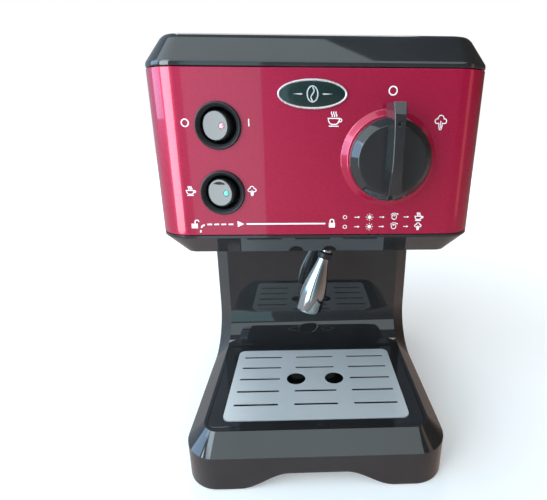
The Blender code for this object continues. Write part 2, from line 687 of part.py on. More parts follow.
# ---------------------------------------------------------------- brew group and boiler
def make_group(finish):
    centre = (0.0, GROUP_Y, 0.0)
    ring, flange = GROUP_RADIUS, GROUP_RADIUS + GROUP_FLANGE_REACH
    group = turned("group_head",
                   [(0, GROUP_PLATE), (flange, GROUP_PLATE), (flange, GROUP_FLANGE),
                    (ring, GROUP_FLANGE), (ring, GROUP_BOTTOM), (BAYONET_RADIUS, GROUP_BOTTOM),
                    (BAYONET_RADIUS, 0.1810), (0.0295, 0.1810), (0.0295, 0.1877),
                    (0, 0.1877)], centre, steps=36)
    for i, x in enumerate((-BAYONET_X, BAYONET_X)):
        notch = block(f"bayonet_notch_{i}", (x - 0.0026, GROUP_Y - 0.008, 0.170),
                      (x + 0.0026, GROUP_Y + 0.008, 0.1812), CUTTERS)
        boolean(group, notch)
    paint(group, finish["aluminium"])
    gasket = turned("group_gasket", [(0.0222, 0.1874), (0.0290, 0.1874), (0.0290, 0.1830),
                                     (0.0222, 0.1830)], centre, steps=32, closed=True)
    paint(gasket, finish["rubber"])
    screen = turned("shower_screen", [(0.0022, 0.1872), (0.0216, 0.1872), (0.0216, 0.1846),
                                      (0.0200, 0.1838), (0.0022, 0.1832)], centre,
                    steps=32, closed=True)
    paint(screen, finish["chrome"])
    screw = turned("screen_screw", [(0, 0.1870), (0.0018, 0.1870), (0.0018, 0.1828),
                                    (0.0045, 0.1828), (0.0040, 0.1812), (0, 0.1808)],
                   centre, steps=16)
    paint(screw, finish["chrome"])
    r = BOILER_RADIUS
    rim = r + BOILER_FLANGE
    boiler = turned("boiler_body", [(0, BOILER_SPLIT - GAP), (rim, BOILER_SPLIT - GAP),
                                    (rim, BOILER_SPLIT - 0.0035),
                                    (r, BOILER_SPLIT - 0.0035), (r, GROUP_PLATE + GAP),
                                    (0, GROUP_PLATE + GAP)], centre, steps=32)
    cover = turned("boiler_cover", [(0, BOILER_TOP), (r - 0.003, BOILER_TOP),
                                    (r, BOILER_TOP - 0.003), (r, BOILER_SPLIT + 0.003),
                                    (rim, BOILER_SPLIT + 0.003), (rim, BOILER_SPLIT),
                                    (0, BOILER_SPLIT)], centre, steps=32)
    paint(boiler, finish["aluminium"])
    paint(cover, finish["aluminium"])
    for i, (x, y) in enumerate(THERMOSTAT_PLACES):
        low = BOILER_TOP + GAP
        sensor = turned(f"thermostat_{i + 1}",
                        [(0, low + 0.008), (0.0070, low + 0.008), (0.0075, low + 0.0075),
                         (0.0075, low + 0.002), (0.0085, low + 0.002), (0.0085, low),
                         (0, low)], (x, y, 0), steps=14)
        paint(sensor, finish["coil_plastic"])


# ---------------------------------------------------------------- steam wand
def make_wand(finish):
    b = BALL_RADIUS
    socket = turned("wand_socket",
                    [(0.0074, 0.0060), (0.0086, 0.0060), (0.0086, -0.0028),
                     (0.0115, -0.0028), (0.0115, -0.0046), (0.0105, -0.0056),
                     (0.0064, -0.0056), (0.0064, -0.0040), (0.0074, -0.0010)],
                    WAND_BALL, steps=20, closed=True)
    paint(socket, finish["satin_black"])
    ball_profile = [(b * math.sin(math.radians(a)), b * math.cos(math.radians(a)))
                    for a in range(0, 181, 20)]
    ball = turned("wand_ball", ball_profile, WAND_BALL, steps=18)
    paint(ball, finish["chrome"])
    lean = (0.0, WAND_LEAN, 0.0)
    pipe = turned("wand_pipe", [(0, -0.0075), (0.0030, -0.0075), (0.0033, -0.0090),
                                (0.0033, -0.0330), (0, -0.0330)], WAND_BALL, lean, 18)
    paint(pipe, finish["chrome"])
    nut = turned("wand_nut", [(0, -0.0333), (0.0036, -0.0335), (0.0050, -0.0350),
                              (0.0055, -0.0378), (0.0050, -0.0395), (0, -0.0395)],
                 WAND_BALL, lean, 24)
    paint(nut, finish["chrome"])
    collar = turned("wand_collar", [(0, -0.0398), (0.0064, -0.0398), (0.0069, -0.0404),
                                    (0.0069, -0.0448), (0.0064, -0.0454), (0, -0.0454)],
                    WAND_BALL, lean, 24)
    paint(collar, finish["satin_black"])
    end = -WAND_LENGTH
    r = SLEEVE_RADIUS
    sleeve = turned("frothing_sleeve",
                    [(0, -0.0457), (0.0050, -0.0457), (0.0053, -0.0490), (0.0068, -0.0560),
                     (0.0093, -0.0660), (0.0112, -0.0760), (0.0124, -0.0860),
                     (r, end + 0.0040), (r, end + 0.0012), (r - 0.0010, end),
                     (r - 0.0018, end), (r - 0.0020, end + 0.0100), (0.0090, -0.0760),
                     (0.0052, -0.0640), (0.0040, -0.0620), (0, -0.0620)], WAND_BALL, lean, 24)
    paint(sleeve, finish["chrome"])
    tip = turned("steam_nozzle", [(0, -0.0623), (0.0026, -0.0623), (0.0026, -0.0880),
                                  (0.0014, -0.0915), (0, -0.0915)], WAND_BALL, lean, 14)
    paint(tip, finish["brass"])


# ---------------------------------------------------------------- drip tray and grid
def make_tray(finish):
    top = BASE_TOP
    tray = block("drip_tray", (-TRAY_HALF, TRAY_FRONT, top - TRAY_FLANGE),
                 (TRAY_HALF, TRAY_BACK, top), PARTS, 0.006, True)
    bowl = block("tray_bowl", (-TRAY_HALF + BOWL_LEDGE, TRAY_FRONT + BOWL_LEDGE, TRAY_BOTTOM),
                 (TRAY_HALF - BOWL_LEDGE, TRAY_BACK - BOWL_LEDGE, top - 0.001),
                 CUTTERS, 0.008, True)
    boolean(tray, bowl, "UNION")
    seat = block("grid_seat", (-GRID_HALF - 0.0008, GRID_FRONT - 0.0008,
                               GRID_TOP - GRID_THICKNESS - GAP),
                 (GRID_HALF + 0.0008, GRID_BACK + 0.0008, top + 0.002), CUTTERS, 0.0065, True)
    inside = block("tray_inside", (-0.0725, GRID_FRONT + 0.0025, TRAY_BOTTOM + TRAY_WALL),
                   (0.0725, GRID_BACK - 0.0025, top + 0.002), CUTTERS, 0.006, True)
    boolean(tray, seat)
    boolean(tray, inside)
    paint(tray, finish["gloss_black"])
    outline = rounded_rectangle((-GRID_HALF, GRID_FRONT), (GRID_HALF, GRID_BACK),
                                (GRID_CORNER,) * 4)
    middle_row = 2
    first = HEAD_FRONT + 0.0296
    holes = []
    for row in range(5):
        y = first + row * SLOT_PITCH
        for column, (x0, x1) in enumerate(SLOT_COLUMNS):
            if row == middle_row and column == 1:
                continue
            r = SLOT_WIDTH / 2
            holes.append(arc((x1 - r, y), r, -90, 90, 3) + arc((x0 + r, y), r, 90, 270, 3))
    drain_y = first + middle_row * SLOT_PITCH
    holes += [arc((x, drain_y), DRAIN_RADIUS, 0, 345, 23) for x in (-DRAIN_X, DRAIN_X)]
    grid = sheet("drip_grid", [outline, *holes], GRID_TOP - GRID_THICKNESS, GRID_TOP)
    paint(grid, finish["silver_steel"])


# ---------------------------------------------------------------- water tank
def make_tank(finish):
    tank = block("water_tank", (-TANK_HALF, TANK_FRONT, TANK_BOTTOM),
                 (TANK_HALF, TANK_REAR, TANK_TOP), PARTS, TANK_CORNER, True, 4)
    w = TANK_WALL
    inside = block("tank_inside", (-TANK_HALF + w, TANK_FRONT + w, TANK_BOTTOM + w),
                   (TANK_HALF - w, TANK_REAR - w, TANK_TOP + 0.01), CUTTERS,
                   TANK_CORNER - w, True, 4)
    boolean(tank, inside)
    outlet = turned("tank_outlet", [(0, 0.01), (0.0055, 0.01), (0.0055, -0.01), (0, -0.01)],
                    (0, OUTLET_Y, TANK_BOTTOM), steps=16, collection=CUTTERS)
    boolean(tank, outlet)
    thick, deep = LUG_HALF
    for i, side in enumerate((-1, 1)):
        x = side * TANK_LUG_X
        foot = block(f"tank_lug_foot_{i}", (x - thick, LID_HINGE_Y - deep, TANK_TOP - 0.008),
                     (x + thick, TANK_REAR - 0.0005, TANK_TOP - 0.0004), CUTTERS)
        lug = block(f"tank_lug_{i}", (x - thick, LID_HINGE_Y - deep, TANK_TOP - 0.0085),
                    (x + thick, LID_HINGE_Y + deep, LID_HINGE_Z + deep), CUTTERS)
        boolean(tank, foot, "UNION")
        boolean(tank, lug, "UNION")
    pin_hole = turned("tank_pin_hole", [(0, 0.06), (0.0016, 0.06), (0.0016, -0.06),
                                        (0, -0.06)], (0, LID_HINGE_Y, LID_HINGE_Z),
                      (0, math.pi / 2, 0), 14, collection=CUTTERS)
    boolean(tank, pin_hole)
    paint(tank, finish["smoked_plastic"])
    pin = turned("lid_pin", [(0, 0.0480), (0.0012, 0.0480), (0.0012, -0.0480), (0, -0.0480)],
                 (0, LID_HINGE_Y, LID_HINGE_Z), (0, math.pi / 2, 0), 12)
    paint(pin, finish["silver_steel"])
    make_tank_lid(finish, pin_hole)
    make_tank_valve(finish)


def make_tank_lid(finish, pin_hole):
    """Rear part of the top, hinged at the back edge of the tank."""
    bottom = FASCIA_TOP + GAP
    lid = loft("tank_lid", cover_rings(0.0, bottom, HEIGHT))
    hollow = loft("lid_hollow", cover_rings(COVER_WALL, bottom - 0.005, HEIGHT), CUTTERS)
    end_walls = block("lid_space", (-BAY_HALF + 0.0030, BAY_FRONT + 0.0030, bottom - 0.02),
                      (BAY_HALF - 0.0030, REAR + 0.02, HEIGHT + 0.02), CUTTERS)
    boolean(hollow, end_walls, "INTERSECT")
    boolean(lid, hollow)
    keep = block("lid_keep", (-BAY_HALF + 0.0005, BAY_FRONT + 0.0005, bottom - 0.01),
                 (BAY_HALF - 0.0005, REAR + 0.01, HEIGHT + 0.01), CUTTERS)
    boolean(lid, keep, "INTERSECT")
    thick, deep = LUG_HALF
    for i, side in enumerate((-1, 1)):
        x = side * (TANK_LUG_X + 2 * thick)
        lug = block(f"lid_lug_{i}", (x - thick + 0.0005, LID_HINGE_Y - deep, LID_HINGE_Z - deep),
                    (x + thick - 0.0005, LID_HINGE_Y + deep, HEIGHT - 0.0015), CUTTERS)
        boolean(lid, lug, "UNION")
        x = side * TANK_LUG_X
        notch = block(f"lid_notch_{i}", (x - thick - 0.0008, LID_HINGE_Y + deep, 0.290),
                      (x + thick + 0.0008, REAR + 0.002, LID_HINGE_Z + 0.0035), CUTTERS)
        boolean(lid, notch)
    boolean(lid, pin_hole)
    paint(lid, finish["gloss_black"])


def make_tank_valve(finish):
    centre = (0, OUTLET_Y, 0)
    low = TANK_BOTTOM
    body = turned("tank_valve",
                  [(0.0032, low + 0.0045), (0.0090, low + 0.0045), (0.0090, low + 0.0025),
                   (0.0050, low + 0.0025), (0.0050, low - GAP), (0.0068, low - GAP),
                   (0.0068, low - 0.0100), (0.0058, low - 0.0110), (0.0032, low - 0.0110)],
                  centre, steps=16, closed=True)
    paint(body, finish["satin_black"])
    plunger = turned("tank_plunger",
                     [(0, low + 0.0100), (0.0022, low + 0.0095), (0.0045, low + 0.0065),
                      (0.0045, low + 0.0049), (0.0020, low + 0.0049), (0.0020, low - 0.0095),
                      (0, low - 0.0100)], centre, steps=18)
    paint(plunger, finish["silicone"])
    floor = BAY_FLOOR - WALL
    seat = turned("tank_seat",
                  [(0.0075, floor - GAP), (0.0130, floor - GAP), (0.0130, floor - 0.0080),
                   (0.0050, floor - 0.0120), (0.0050, floor - 0.0180), (0.0015, floor - 0.0180),
                   (0.0015, floor - 0.0085), (0.0075, floor - 0.0085)],
                  centre, steps=16, closed=True)
    paint(seat, finish["silicone"])


# ---------------------------------------------------------------- pump and plumbing
def make_pump(finish):
    half_width, half_depth = PUMP_HALF
    pump = block("pump_body", (PUMP.x - half_width, PUMP.y - half_depth, COIL_LOW),
                 (PUMP.x + half_width, PUMP.y + half_depth, COIL_HIGH), PARTS, 0.002)
    barrel = turned("pump_barrel", [(0, 0.160), (0.0085, 0.158), (0.0085, 0.064),
                                    (0.0060, 0.060), (0, 0.060)], (PUMP.x, PUMP.y, 0),
                    steps=14, collection=CUTTERS)
    boolean(pump, barrel, "UNION")
    paint(pump, finish["coil_plastic"])
    for label, z in DAMPER_HEIGHTS:
        damper = turned(f"pump_damper_{label}",
                        [(0.0088, z + 0.003), (0.0135, z + 0.003), (0.0145, z + 0.001),
                         (0.0145, z - 0.001), (0.0135, z - 0.003), (0.0088, z - 0.003)],
                        (PUMP.x, PUMP.y, 0), steps=14, closed=True)
        paint(damper, finish["rubber"])
    bracket = block("pump_bracket", (PUMP.x - 0.020, BAY_FRONT - WALL - 0.0033, BRACKET_LOW),
                    (PUMP.x + 0.020, BAY_FRONT - WALL - GAP, BRACKET_HIGH), PARTS, 0.0006)
    paint(bracket, finish["silver_steel"])
    inlet = tube("inlet_hose", [(0, OUTLET_Y, 0.0865), (0, OUTLET_Y - 0.004, 0.068),
                                (-0.015, OUTLET_Y - 0.024, 0.050),
                                (-0.036, PUMP.y + 0.0075, 0.042),
                                (PUMP.x, PUMP.y, 0.049), (PUMP.x, PUMP.y, 0.0592)],
                 HOSE_RADIUS)
    paint(inlet, finish["silicone"])
    boiler_side = -BOILER_RADIUS - GAP
    pressure = tube("pressure_pipe", [(PUMP.x, PUMP.y, 0.1603), (PUMP.x, PUMP.y, 0.190),
                                      (PUMP.x - 0.004, PUMP.y - 0.014, 0.214),
                                      (PUMP.x - 0.008, PUMP.y - 0.0465, 0.222),
                                      (-0.050, GROUP_Y + 0.012, 0.224),
                                      (boiler_side - 0.006, GROUP_Y, 0.224),
                                      (boiler_side, GROUP_Y, 0.224)], PIPE_RADIUS)
    paint(pressure, finish["aluminium"])
    steam = tube("steam_tube", [(KNOB_X, HEAD_FRONT + 0.040, KNOB_Z - 0.0125),
                                (KNOB_X, HEAD_FRONT + 0.040, 0.222),
                                (KNOB_X + 0.004, HEAD_FRONT + 0.063, 0.207),
                                (0.036, WAND_BALL.y - 0.016, 0.203),
                                (WAND_BALL.x + 0.002, WAND_BALL.y - 0.003, 0.203),
                                (WAND_BALL.x, WAND_BALL.y, 0.1935)], PIPE_RADIUS)
    paint(steam, finish["aluminium"])


def make_electrics(finish):
    terminal = block("terminal_block", TERMINAL_LOW, TERMINAL_LOW + TERMINAL_SIZE, PARTS, 0.001)
    paint(terminal, finish["coil_plastic"])
    gland = turned("cord_gland",
                   [(0.0036, 0.0), (0.0068, 0.0), (0.0080, -0.0010), (0.0080, -0.0033),
                    (0.0110, -0.0033), (0.0110, -0.0070), (0.0036, -0.0070)],
                   CORD_GLAND, (-math.pi / 2, 0, 0), 24, closed=True)
    paint(gland, finish["rubber"])


def main():
    clear_scene()
    finish = make_materials()
    make_body(finish)
    make_base_plate(finish)
    make_fascia(finish)
    make_head_housing(finish)
    make_top_cover(finish)
    make_badge(finish)
    make_switch("power", SWITCH_HEIGHTS[0], "red_lens", finish)
    make_switch("mode", SWITCH_HEIGHTS[1], "green_lens", finish)
    make_knob(finish)
    make_group(finish)
    make_wand(finish)
    make_tray(finish)
    make_tank(finish)
    make_pump(finish)
    make_electrics(finish)


main()
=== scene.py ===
"""Looks of the espresso machine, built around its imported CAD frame.

Metres, +Z up, the control panel faces -Y.  Places come from the frame's boxes and joints, and
the few sizes of its own that each piece needs stand at the top of its section.
"""

import json
import math

import bmesh
import bpy
from mathutils import Euler, Matrix, Vector

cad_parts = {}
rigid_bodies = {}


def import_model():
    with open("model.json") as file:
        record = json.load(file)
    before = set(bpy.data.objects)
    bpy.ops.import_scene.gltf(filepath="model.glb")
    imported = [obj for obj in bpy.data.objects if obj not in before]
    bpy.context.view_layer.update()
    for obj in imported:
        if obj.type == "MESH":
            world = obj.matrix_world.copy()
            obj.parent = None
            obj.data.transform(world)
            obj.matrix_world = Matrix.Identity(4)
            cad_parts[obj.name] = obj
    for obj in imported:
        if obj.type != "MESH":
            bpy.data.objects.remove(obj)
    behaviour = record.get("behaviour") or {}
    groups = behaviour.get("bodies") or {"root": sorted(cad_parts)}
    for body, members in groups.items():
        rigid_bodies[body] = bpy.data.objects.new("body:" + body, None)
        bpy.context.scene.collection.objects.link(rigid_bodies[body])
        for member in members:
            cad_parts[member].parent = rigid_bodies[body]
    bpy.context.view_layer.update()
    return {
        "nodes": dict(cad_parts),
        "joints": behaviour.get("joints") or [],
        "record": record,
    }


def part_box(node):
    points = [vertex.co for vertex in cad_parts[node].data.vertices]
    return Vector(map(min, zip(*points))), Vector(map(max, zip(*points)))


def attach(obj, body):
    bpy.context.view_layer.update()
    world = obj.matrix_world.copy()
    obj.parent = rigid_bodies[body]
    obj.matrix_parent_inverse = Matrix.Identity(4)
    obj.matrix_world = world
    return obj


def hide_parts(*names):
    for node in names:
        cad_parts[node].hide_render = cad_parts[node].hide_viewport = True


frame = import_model()

# ---------------------------------------------------------------- places read from the frame
BODY_LOW, BODY_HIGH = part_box("body_housing")
COVER_LOW, COVER_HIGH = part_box("top_cover")
HALF_WIDTH = BODY_HIGH.x
FRONT, REAR = BODY_LOW.y, BODY_HIGH.y
HEAD_FRONT = COVER_LOW.y
BODY_BOTTOM, BODY_TOP = BODY_LOW.z, BODY_HIGH.z
COVER_BOTTOM, HEIGHT = COVER_LOW.z, COVER_HIGH.z
JOINTS = {joint["name"]: joint for joint in frame["joints"]}
KNOB = Vector(JOINTS["knob_turn"]["pos_m"])
WAND_BALL = Vector(JOINTS["wand_tilt"]["pos_m"])
LID_HINGE = Vector(JOINTS["lid_hinge"]["pos_m"])
FACING = (math.pi / 2, 0, 0)         # turns local +Z to the front
UPRIGHT = (0.0, 0.0, 0.0)
GAP = 0.0003


def on_front(centre, right=0.0, up=0.0):
    """The point of the panel's face in front of a place, shifted along the face."""
    return (centre.x + right, HEAD_FRONT, centre.z + up)


# ---------------------------------------------------------------- camera, light and floor
CAMERA_PLACE = Vector((-0.00905, -0.35644, 0.270))
CAMERA_YAW, CAMERA_PITCH, CAMERA_ROLL = 0.0388, 0.3245, -0.0042
CAMERA_LENS = 26.11
CAMERA_SHIFT = -0.0827
FLOOR_RADIUS = 3.0
MIDDLE = (0.0, 0.0, 0.17)            # what the lights are turned to
LIGHTS = (                           # name, place, target, size, power, colour
    ("top_softbox", (-0.35, -0.75, 1.35), MIDDLE, (3.2, 1.2), 16, (0.86, 0.98, 1.0)),
    ("left_window", (-1.08, -1.12, 0.36), MIDDLE, (0.75, 1.15), 19, (0.84, 0.95, 1.0)),
    ("blue_window", (-1.39, -0.30, 0.64), MIDDLE, (0.80, 0.80), 8, (0.42, 0.68, 1.0)),
    ("upper_window", (-0.90, -0.87, 1.10), MIDDLE, (0.60, 0.42), 3.5, (0.72, 0.88, 1.0)),
    ("pale_wall", (-0.36, -1.75, 0.30), (0.0, 0.0, 0.25), (0.34, 1.5), 1.5, (0.50, 0.93, 1.0)),
    ("right_card", (0.95, -0.60, 0.36), MIDDLE, (0.20, 0.8), 0.35, (1.0, 0.70, 0.50)),
    ("back_softbox", (-0.1, 0.95, 1.70), MIDDLE, (1.2, 0.9), 12, (1.0, 0.98, 0.95)))
ROOM_STOPS = (                       # colour of the room from the left to the right
    (0.0, (0.52, 0.66, 0.78)), (0.30, (0.27, 0.34, 0.41)), (0.55, (0.16, 0.195, 0.23)),
    (0.78, (0.060, 0.047, 0.040)), (1.0, (0.095, 0.055, 0.034)))
TABLE_GLOW = (0.60, 0.47, 0.43)      # light that a table throws up from below


def make_camera():
    forward = Vector((math.sin(CAMERA_YAW) * math.cos(CAMERA_PITCH),
                      math.cos(CAMERA_YAW) * math.cos(CAMERA_PITCH), -math.sin(CAMERA_PITCH)))
    level = Vector((math.cos(CAMERA_YAW), -math.sin(CAMERA_YAW), 0.0))
    down = forward.cross(level)
    right = math.cos(CAMERA_ROLL) * level + math.sin(CAMERA_ROLL) * down
    down = -math.sin(CAMERA_ROLL) * level + math.cos(CAMERA_ROLL) * down
    data = bpy.data.cameras.new("camera")
    data.sensor_width = 36.0
    data.lens = CAMERA_LENS
    data.shift_x = CAMERA_SHIFT
    data.clip_start = 0.01
    item = link("camera", data)
    turn = Matrix((right, -down, -forward)).transposed().to_4x4()
    item.matrix_world = Matrix.Translation(CAMERA_PLACE) @ turn
    bpy.context.scene.camera = item


def area_light(name, place, target, size, power, color):
    data = bpy.data.lights.new(name, "AREA")
    data.shape = "RECTANGLE"
    data.size, data.size_y = size
    data.energy = power
    data.color = color
    item = link(name, data)
    item.location = place
    item.rotation_euler = (Vector(target) - Vector(place)).to_track_quat("-Z", "Y").to_euler()


def feed(tree, socket, value):
    """Set a socket to a number or a colour, or join another node's output to it."""
    if isinstance(value, bpy.types.NodeSocket):
        tree.links.new(value, socket)
    else:
        plain_color = socket.type == "RGBA" and len(value) == 3
        socket.default_value = (*value, 1.0) if plain_color else value


def add_node(tree, kind, **inputs):
    node = tree.nodes.new("ShaderNode" + kind)
    for name, value in inputs.items():
        feed(tree, node.inputs[name.replace("_", " ")], value)
    return node


def add_mix(tree, factor, first, second):
    node = tree.nodes.new("ShaderNodeMix")
    node.data_type = "RGBA"
    for name, value in (("Factor", factor), ("A", first), ("B", second)):
        feed(tree, node.inputs[name], value)
    return node.outputs["Result"]


def make_world():
    """Soft surround: cool and bright on the left, dim and warm on the right, white behind."""
    world = bpy.data.worlds.new("studio")
    bpy.context.scene.world = world
    world.use_nodes = True
    tree = world.node_tree
    axes = add_node(tree, "SeparateXYZ",
                    Vector=add_node(tree, "TexCoord").outputs["Generated"]).outputs
    across = add_node(tree, "MapRange", Value=axes["X"], From_Min=-1.0).outputs["Result"]
    room = add_node(tree, "ValToRGB", Fac=across)
    ramp = room.color_ramp
    ramp.elements.remove(ramp.elements[1])
    for i, (position, color) in enumerate(ROOM_STOPS):
        stop = ramp.elements[0] if i == 0 else ramp.elements.new(position)
        stop.position = position
        stop.color = (*color, 1.0)
    below = add_node(tree, "MapRange", Value=axes["Z"], From_Min=0.10, From_Max=-0.45,
                     To_Max=0.65).outputs["Result"]
    background = tree.nodes["Background"]
    background.inputs["Strength"].default_value = 1.0
    feed(tree, background.inputs["Color"],
         add_mix(tree, below, room.outputs["Color"], TABLE_GLOW))
    backdrop = add_node(tree, "Background", Color=(1.0, 1.0, 1.0))
    choose = add_node(tree, "MixShader", Fac=add_node(tree, "LightPath").outputs["Is Camera Ray"])
    for socket, source in zip(list(choose.inputs)[1:], (background, backdrop)):
        tree.links.new(source.outputs["Background"], socket)
    tree.links.new(choose.outputs["Shader"], tree.nodes["World Output"].inputs["Surface"])


def make_studio():
    make_world()
    for row in LIGHTS:
        area_light(*row)
    bm = bmesh.new()
    bmesh.ops.create_circle(bm, cap_ends=True, segments=96, radius=FLOOR_RADIUS)
    floor = link("floor", finished_mesh("floor", bm))
    floor.data.materials.append(floor_finish())
    floor.visible_glossy = False
    view = bpy.context.scene.view_settings
    view.view_transform = "Standard"
    view.look = "None"
    view.exposure = 0.0


# ---------------------------------------------------------------- node helpers for materials
class Graph:
    """A small wrapper that adds and joins shader nodes round one Principled shader."""

    def __init__(self, name):
        self.material = bpy.data.materials.new(name)
        self.material.use_nodes = True
        self.tree = self.material.node_tree
        self.shader = self.tree.nodes["Principled BSDF"]
        self.place = add_node(self.tree, "TexCoord").outputs["Object"]

    def set(self, **values):
        for name, value in values.items():
            feed(self.tree, self.shader.inputs[name.replace("_", " ")], value)

    def stretched(self, scale):
        return add_node(self.tree, "Mapping", Scale=scale, Vector=self.place).outputs["Vector"]

    def noise(self, scale, detail=2.0, roughness=0.5, place=None):
        return add_node(self.tree, "TexNoise", Scale=scale, Detail=detail, Roughness=roughness,
                        Vector=place or self.place).outputs["Fac"]

    def cells(self, scale):
        node = add_node(self.tree, "TexVoronoi", Scale=scale, Vector=self.place)
        return node.outputs["Color"], node.outputs["Distance"]

    def ramp(self, value, low, high, start, end):
        """Map value, between low and high, to start..end."""
        return add_node(self.tree, "MapRange", Value=value, From_Min=low, From_Max=high,
                        To_Min=start, To_Max=end).outputs["Result"]

    def mix(self, factor, first, second):
        return add_mix(self.tree, factor, first, second)

    def math(self, operation, first, second):
        node = self.tree.nodes.new("ShaderNodeMath")
        node.operation = operation
        for socket, value in zip(node.inputs, (first, second)):
            feed(self.tree, socket, value)
        return node.outputs["Value"]

    def edges(self):
        """1 on worn convex edges, 0 elsewhere."""
        geometry = add_node(self.tree, "NewGeometry")
        return self.ramp(geometry.outputs["Pointiness"], 0.52, 0.60, 0.0, 1.0)

    def color(self, value):
        self.set(Base_Color=value)

    def rough(self, value):
        self.set(Roughness=value)

    def uneven(self, scale, detail, low, high):
        """Roughness that wanders between two values."""
        self.rough(self.ramp(self.noise(scale, detail), 0.3, 0.7, low, high))

    def bump(self, height, strength, distance=0.001):
        node = add_node(self.tree, "Bump", Strength=strength, Distance=distance, Height=height)
        self.set(Normal=node.outputs["Normal"])


# ---------------------------------------------------------------- materials
def floor_finish():
    g = Graph("floor_paper")
    g.set(Roughness=0.85, Specular_IOR_Level=0.2)
    g.color(g.mix(g.noise(3.0, 3), (0.82, 0.83, 0.84), (0.86, 0.86, 0.86)))
    g.bump(g.noise(400.0, 2), 0.03)
    distance = add_node(g.tree, "VectorMath", Vector=g.place)
    distance.operation = "LENGTH"
    # Painted light: the floor glows faintly near the middle and more strongly further out, so it
    # whitens away from the machine.
    g.set(Emission_Color=(1.0, 1.0, 1.0),
          Emission_Strength=g.ramp(distance.outputs["Value"], 0.15, 1.3, 0.22, 0.85))
    return g.material


def gloss_plastic(name, dark, light, gloss=(0.02, 0.06), haze=0.012):
    """Polished moulded plastic: faint smudges, hairline scuffs and slightly dull edges."""
    g = Graph(name)
    g.set(Specular_IOR_Level=0.62, IOR=1.50, Coat_Weight=0.35, Coat_Roughness=0.03)
    smudge = g.noise(28.0, 5, 0.6)
    g.color(g.mix(g.ramp(smudge, 0.35, 0.75, 0.0, 1.0), dark, light))
    scuffs = g.noise(60.0, 6, 0.75, g.stretched((1.0, 9.0, 2.5)))
    dull = g.ramp(scuffs, 0.66, 0.74, 0.0, 0.08)
    worn = g.math("MULTIPLY", g.edges(), 0.12)
    base = g.ramp(smudge, 0.3, 0.8, gloss[0], gloss[1])
    g.rough(g.math("ADD", g.math("ADD", base, dull), worn))
    g.bump(g.noise(60.0, 2), haze, 0.0004)
    return g.material


def satin_plastic(name, dark, light, grain=900.0, low=0.34, high=0.48, strength=0.12):
    g = Graph(name)
    g.set(Specular_IOR_Level=0.5)
    g.color(g.mix(g.noise(40.0, 4), dark, light))
    g.uneven(70.0, 3, low, high)
    g.bump(g.noise(grain, 3, 0.7), strength, 0.0002)
    return g.material


def crimson_paint():
    """Metallic crimson under lacquer: fine flake, a soft cloudiness and hairline scratches."""
    g = Graph("crimson")
    g.set(Metallic=0.45, Specular_IOR_Level=0.5, Coat_Weight=1.0, Coat_Roughness=0.03,
          Coat_IOR=1.5)
    flake, _ = g.cells(7000.0)
    red = add_node(g.tree, "SeparateColor", Color=flake).outputs["Red"]
    glitter = g.ramp(red, 0.0, 1.0, 0.0, 1.0)
    cloud = g.noise(9.0, 3)
    base = g.mix(cloud, (0.39, 0.0032, 0.040), (0.44, 0.0045, 0.049))
    g.color(g.mix(g.math("MULTIPLY", glitter, 0.15), base, (0.70, 0.024, 0.11)))
    scratches = g.noise(45.0, 8, 0.8, g.stretched((6.0, 1.0, 0.8)))
    g.rough(g.math("ADD", g.ramp(glitter, 0.0, 1.0, 0.26, 0.32),
                   g.ramp(scratches, 0.68, 0.76, 0.0, 0.12)))
    g.bump(g.noise(140.0, 2), 0.015, 0.0003)
    return g.material


def metal(name, dark, light, low, high, stretch=(1.0, 1.0, 1.0), scale=120.0, strength=0.05,
          metallic=1.0):
    g = Graph(name)
    g.set(Metallic=metallic)
    lines = g.noise(scale, 5, 0.65, g.stretched(stretch))
    stains = g.noise(22.0, 4)
    g.color(g.mix(g.ramp(lines, 0.3, 0.7, 0.0, 1.0), dark, light))
    g.rough(g.math("ADD", g.ramp(lines, 0.3, 0.7, low, high),
                   g.ramp(stains, 0.55, 0.75, 0.0, 0.08)))
    g.bump(lines, strength, 0.0002)
    return g.material


def spotted_chrome(name):
    """Chrome plate with dried water spots."""
    g = Graph(name)
    g.set(Metallic=1.0)
    _, distance = g.cells(260.0)
    spots = g.ramp(distance, 0.10, 0.22, 1.0, 0.0)
    patch = g.math("MULTIPLY", spots, g.ramp(g.noise(50.0, 2), 0.48, 0.62, 0.0, 1.0))
    g.color(g.mix(patch, (0.47, 0.50, 0.515), (0.35, 0.37, 0.38)))
    g.rough(g.math("ADD", g.ramp(g.noise(80.0, 3), 0.3, 0.7, 0.07, 0.15),
                   g.math("MULTIPLY", patch, 0.35)))
    g.bump(g.noise(110.0, 2), 0.012, 0.0002)
    return g.material


def lens(name, deep, pale, glow):
    """Ribbed translucent lamp lens, a little brighter where the lamp sits behind it."""
    g = Graph(name)
    g.set(Roughness=0.08, Specular_IOR_Level=0.6, Coat_Weight=0.4, Subsurface_Weight=0.15,
          Emission_Color=pale, Emission_Strength=glow)
    g.color(g.mix(g.ramp(g.noise(900.0, 2), 0.35, 0.65, 0.0, 1.0), deep, pale))
    g.bump(g.noise(1400.0, 1), 0.08, 0.0002)
    return g.material


def smoked_plastic(name):
    g = Graph(name)
    g.set(Roughness=0.06, Transmission_Weight=0.82, IOR=1.49, Specular_IOR_Level=0.5)
    g.color(g.mix(g.noise(18.0, 3), (0.30, 0.32, 0.34), (0.40, 0.42, 0.44)))
    g.uneven(60.0, 4, 0.05, 0.16)
    g.bump(g.noise(120.0, 2), 0.02, 0.0003)
    return g.material


def milky_silicone(name):
    g = Graph(name)
    g.set(Subsurface_Weight=0.25, Specular_IOR_Level=0.4)
    g.color(g.mix(g.noise(60.0, 3), (0.66, 0.66, 0.63), (0.76, 0.76, 0.74)))
    g.uneven(120.0, 3, 0.42, 0.58)
    g.bump(g.noise(500.0, 2), 0.05, 0.0002)
    return g.material


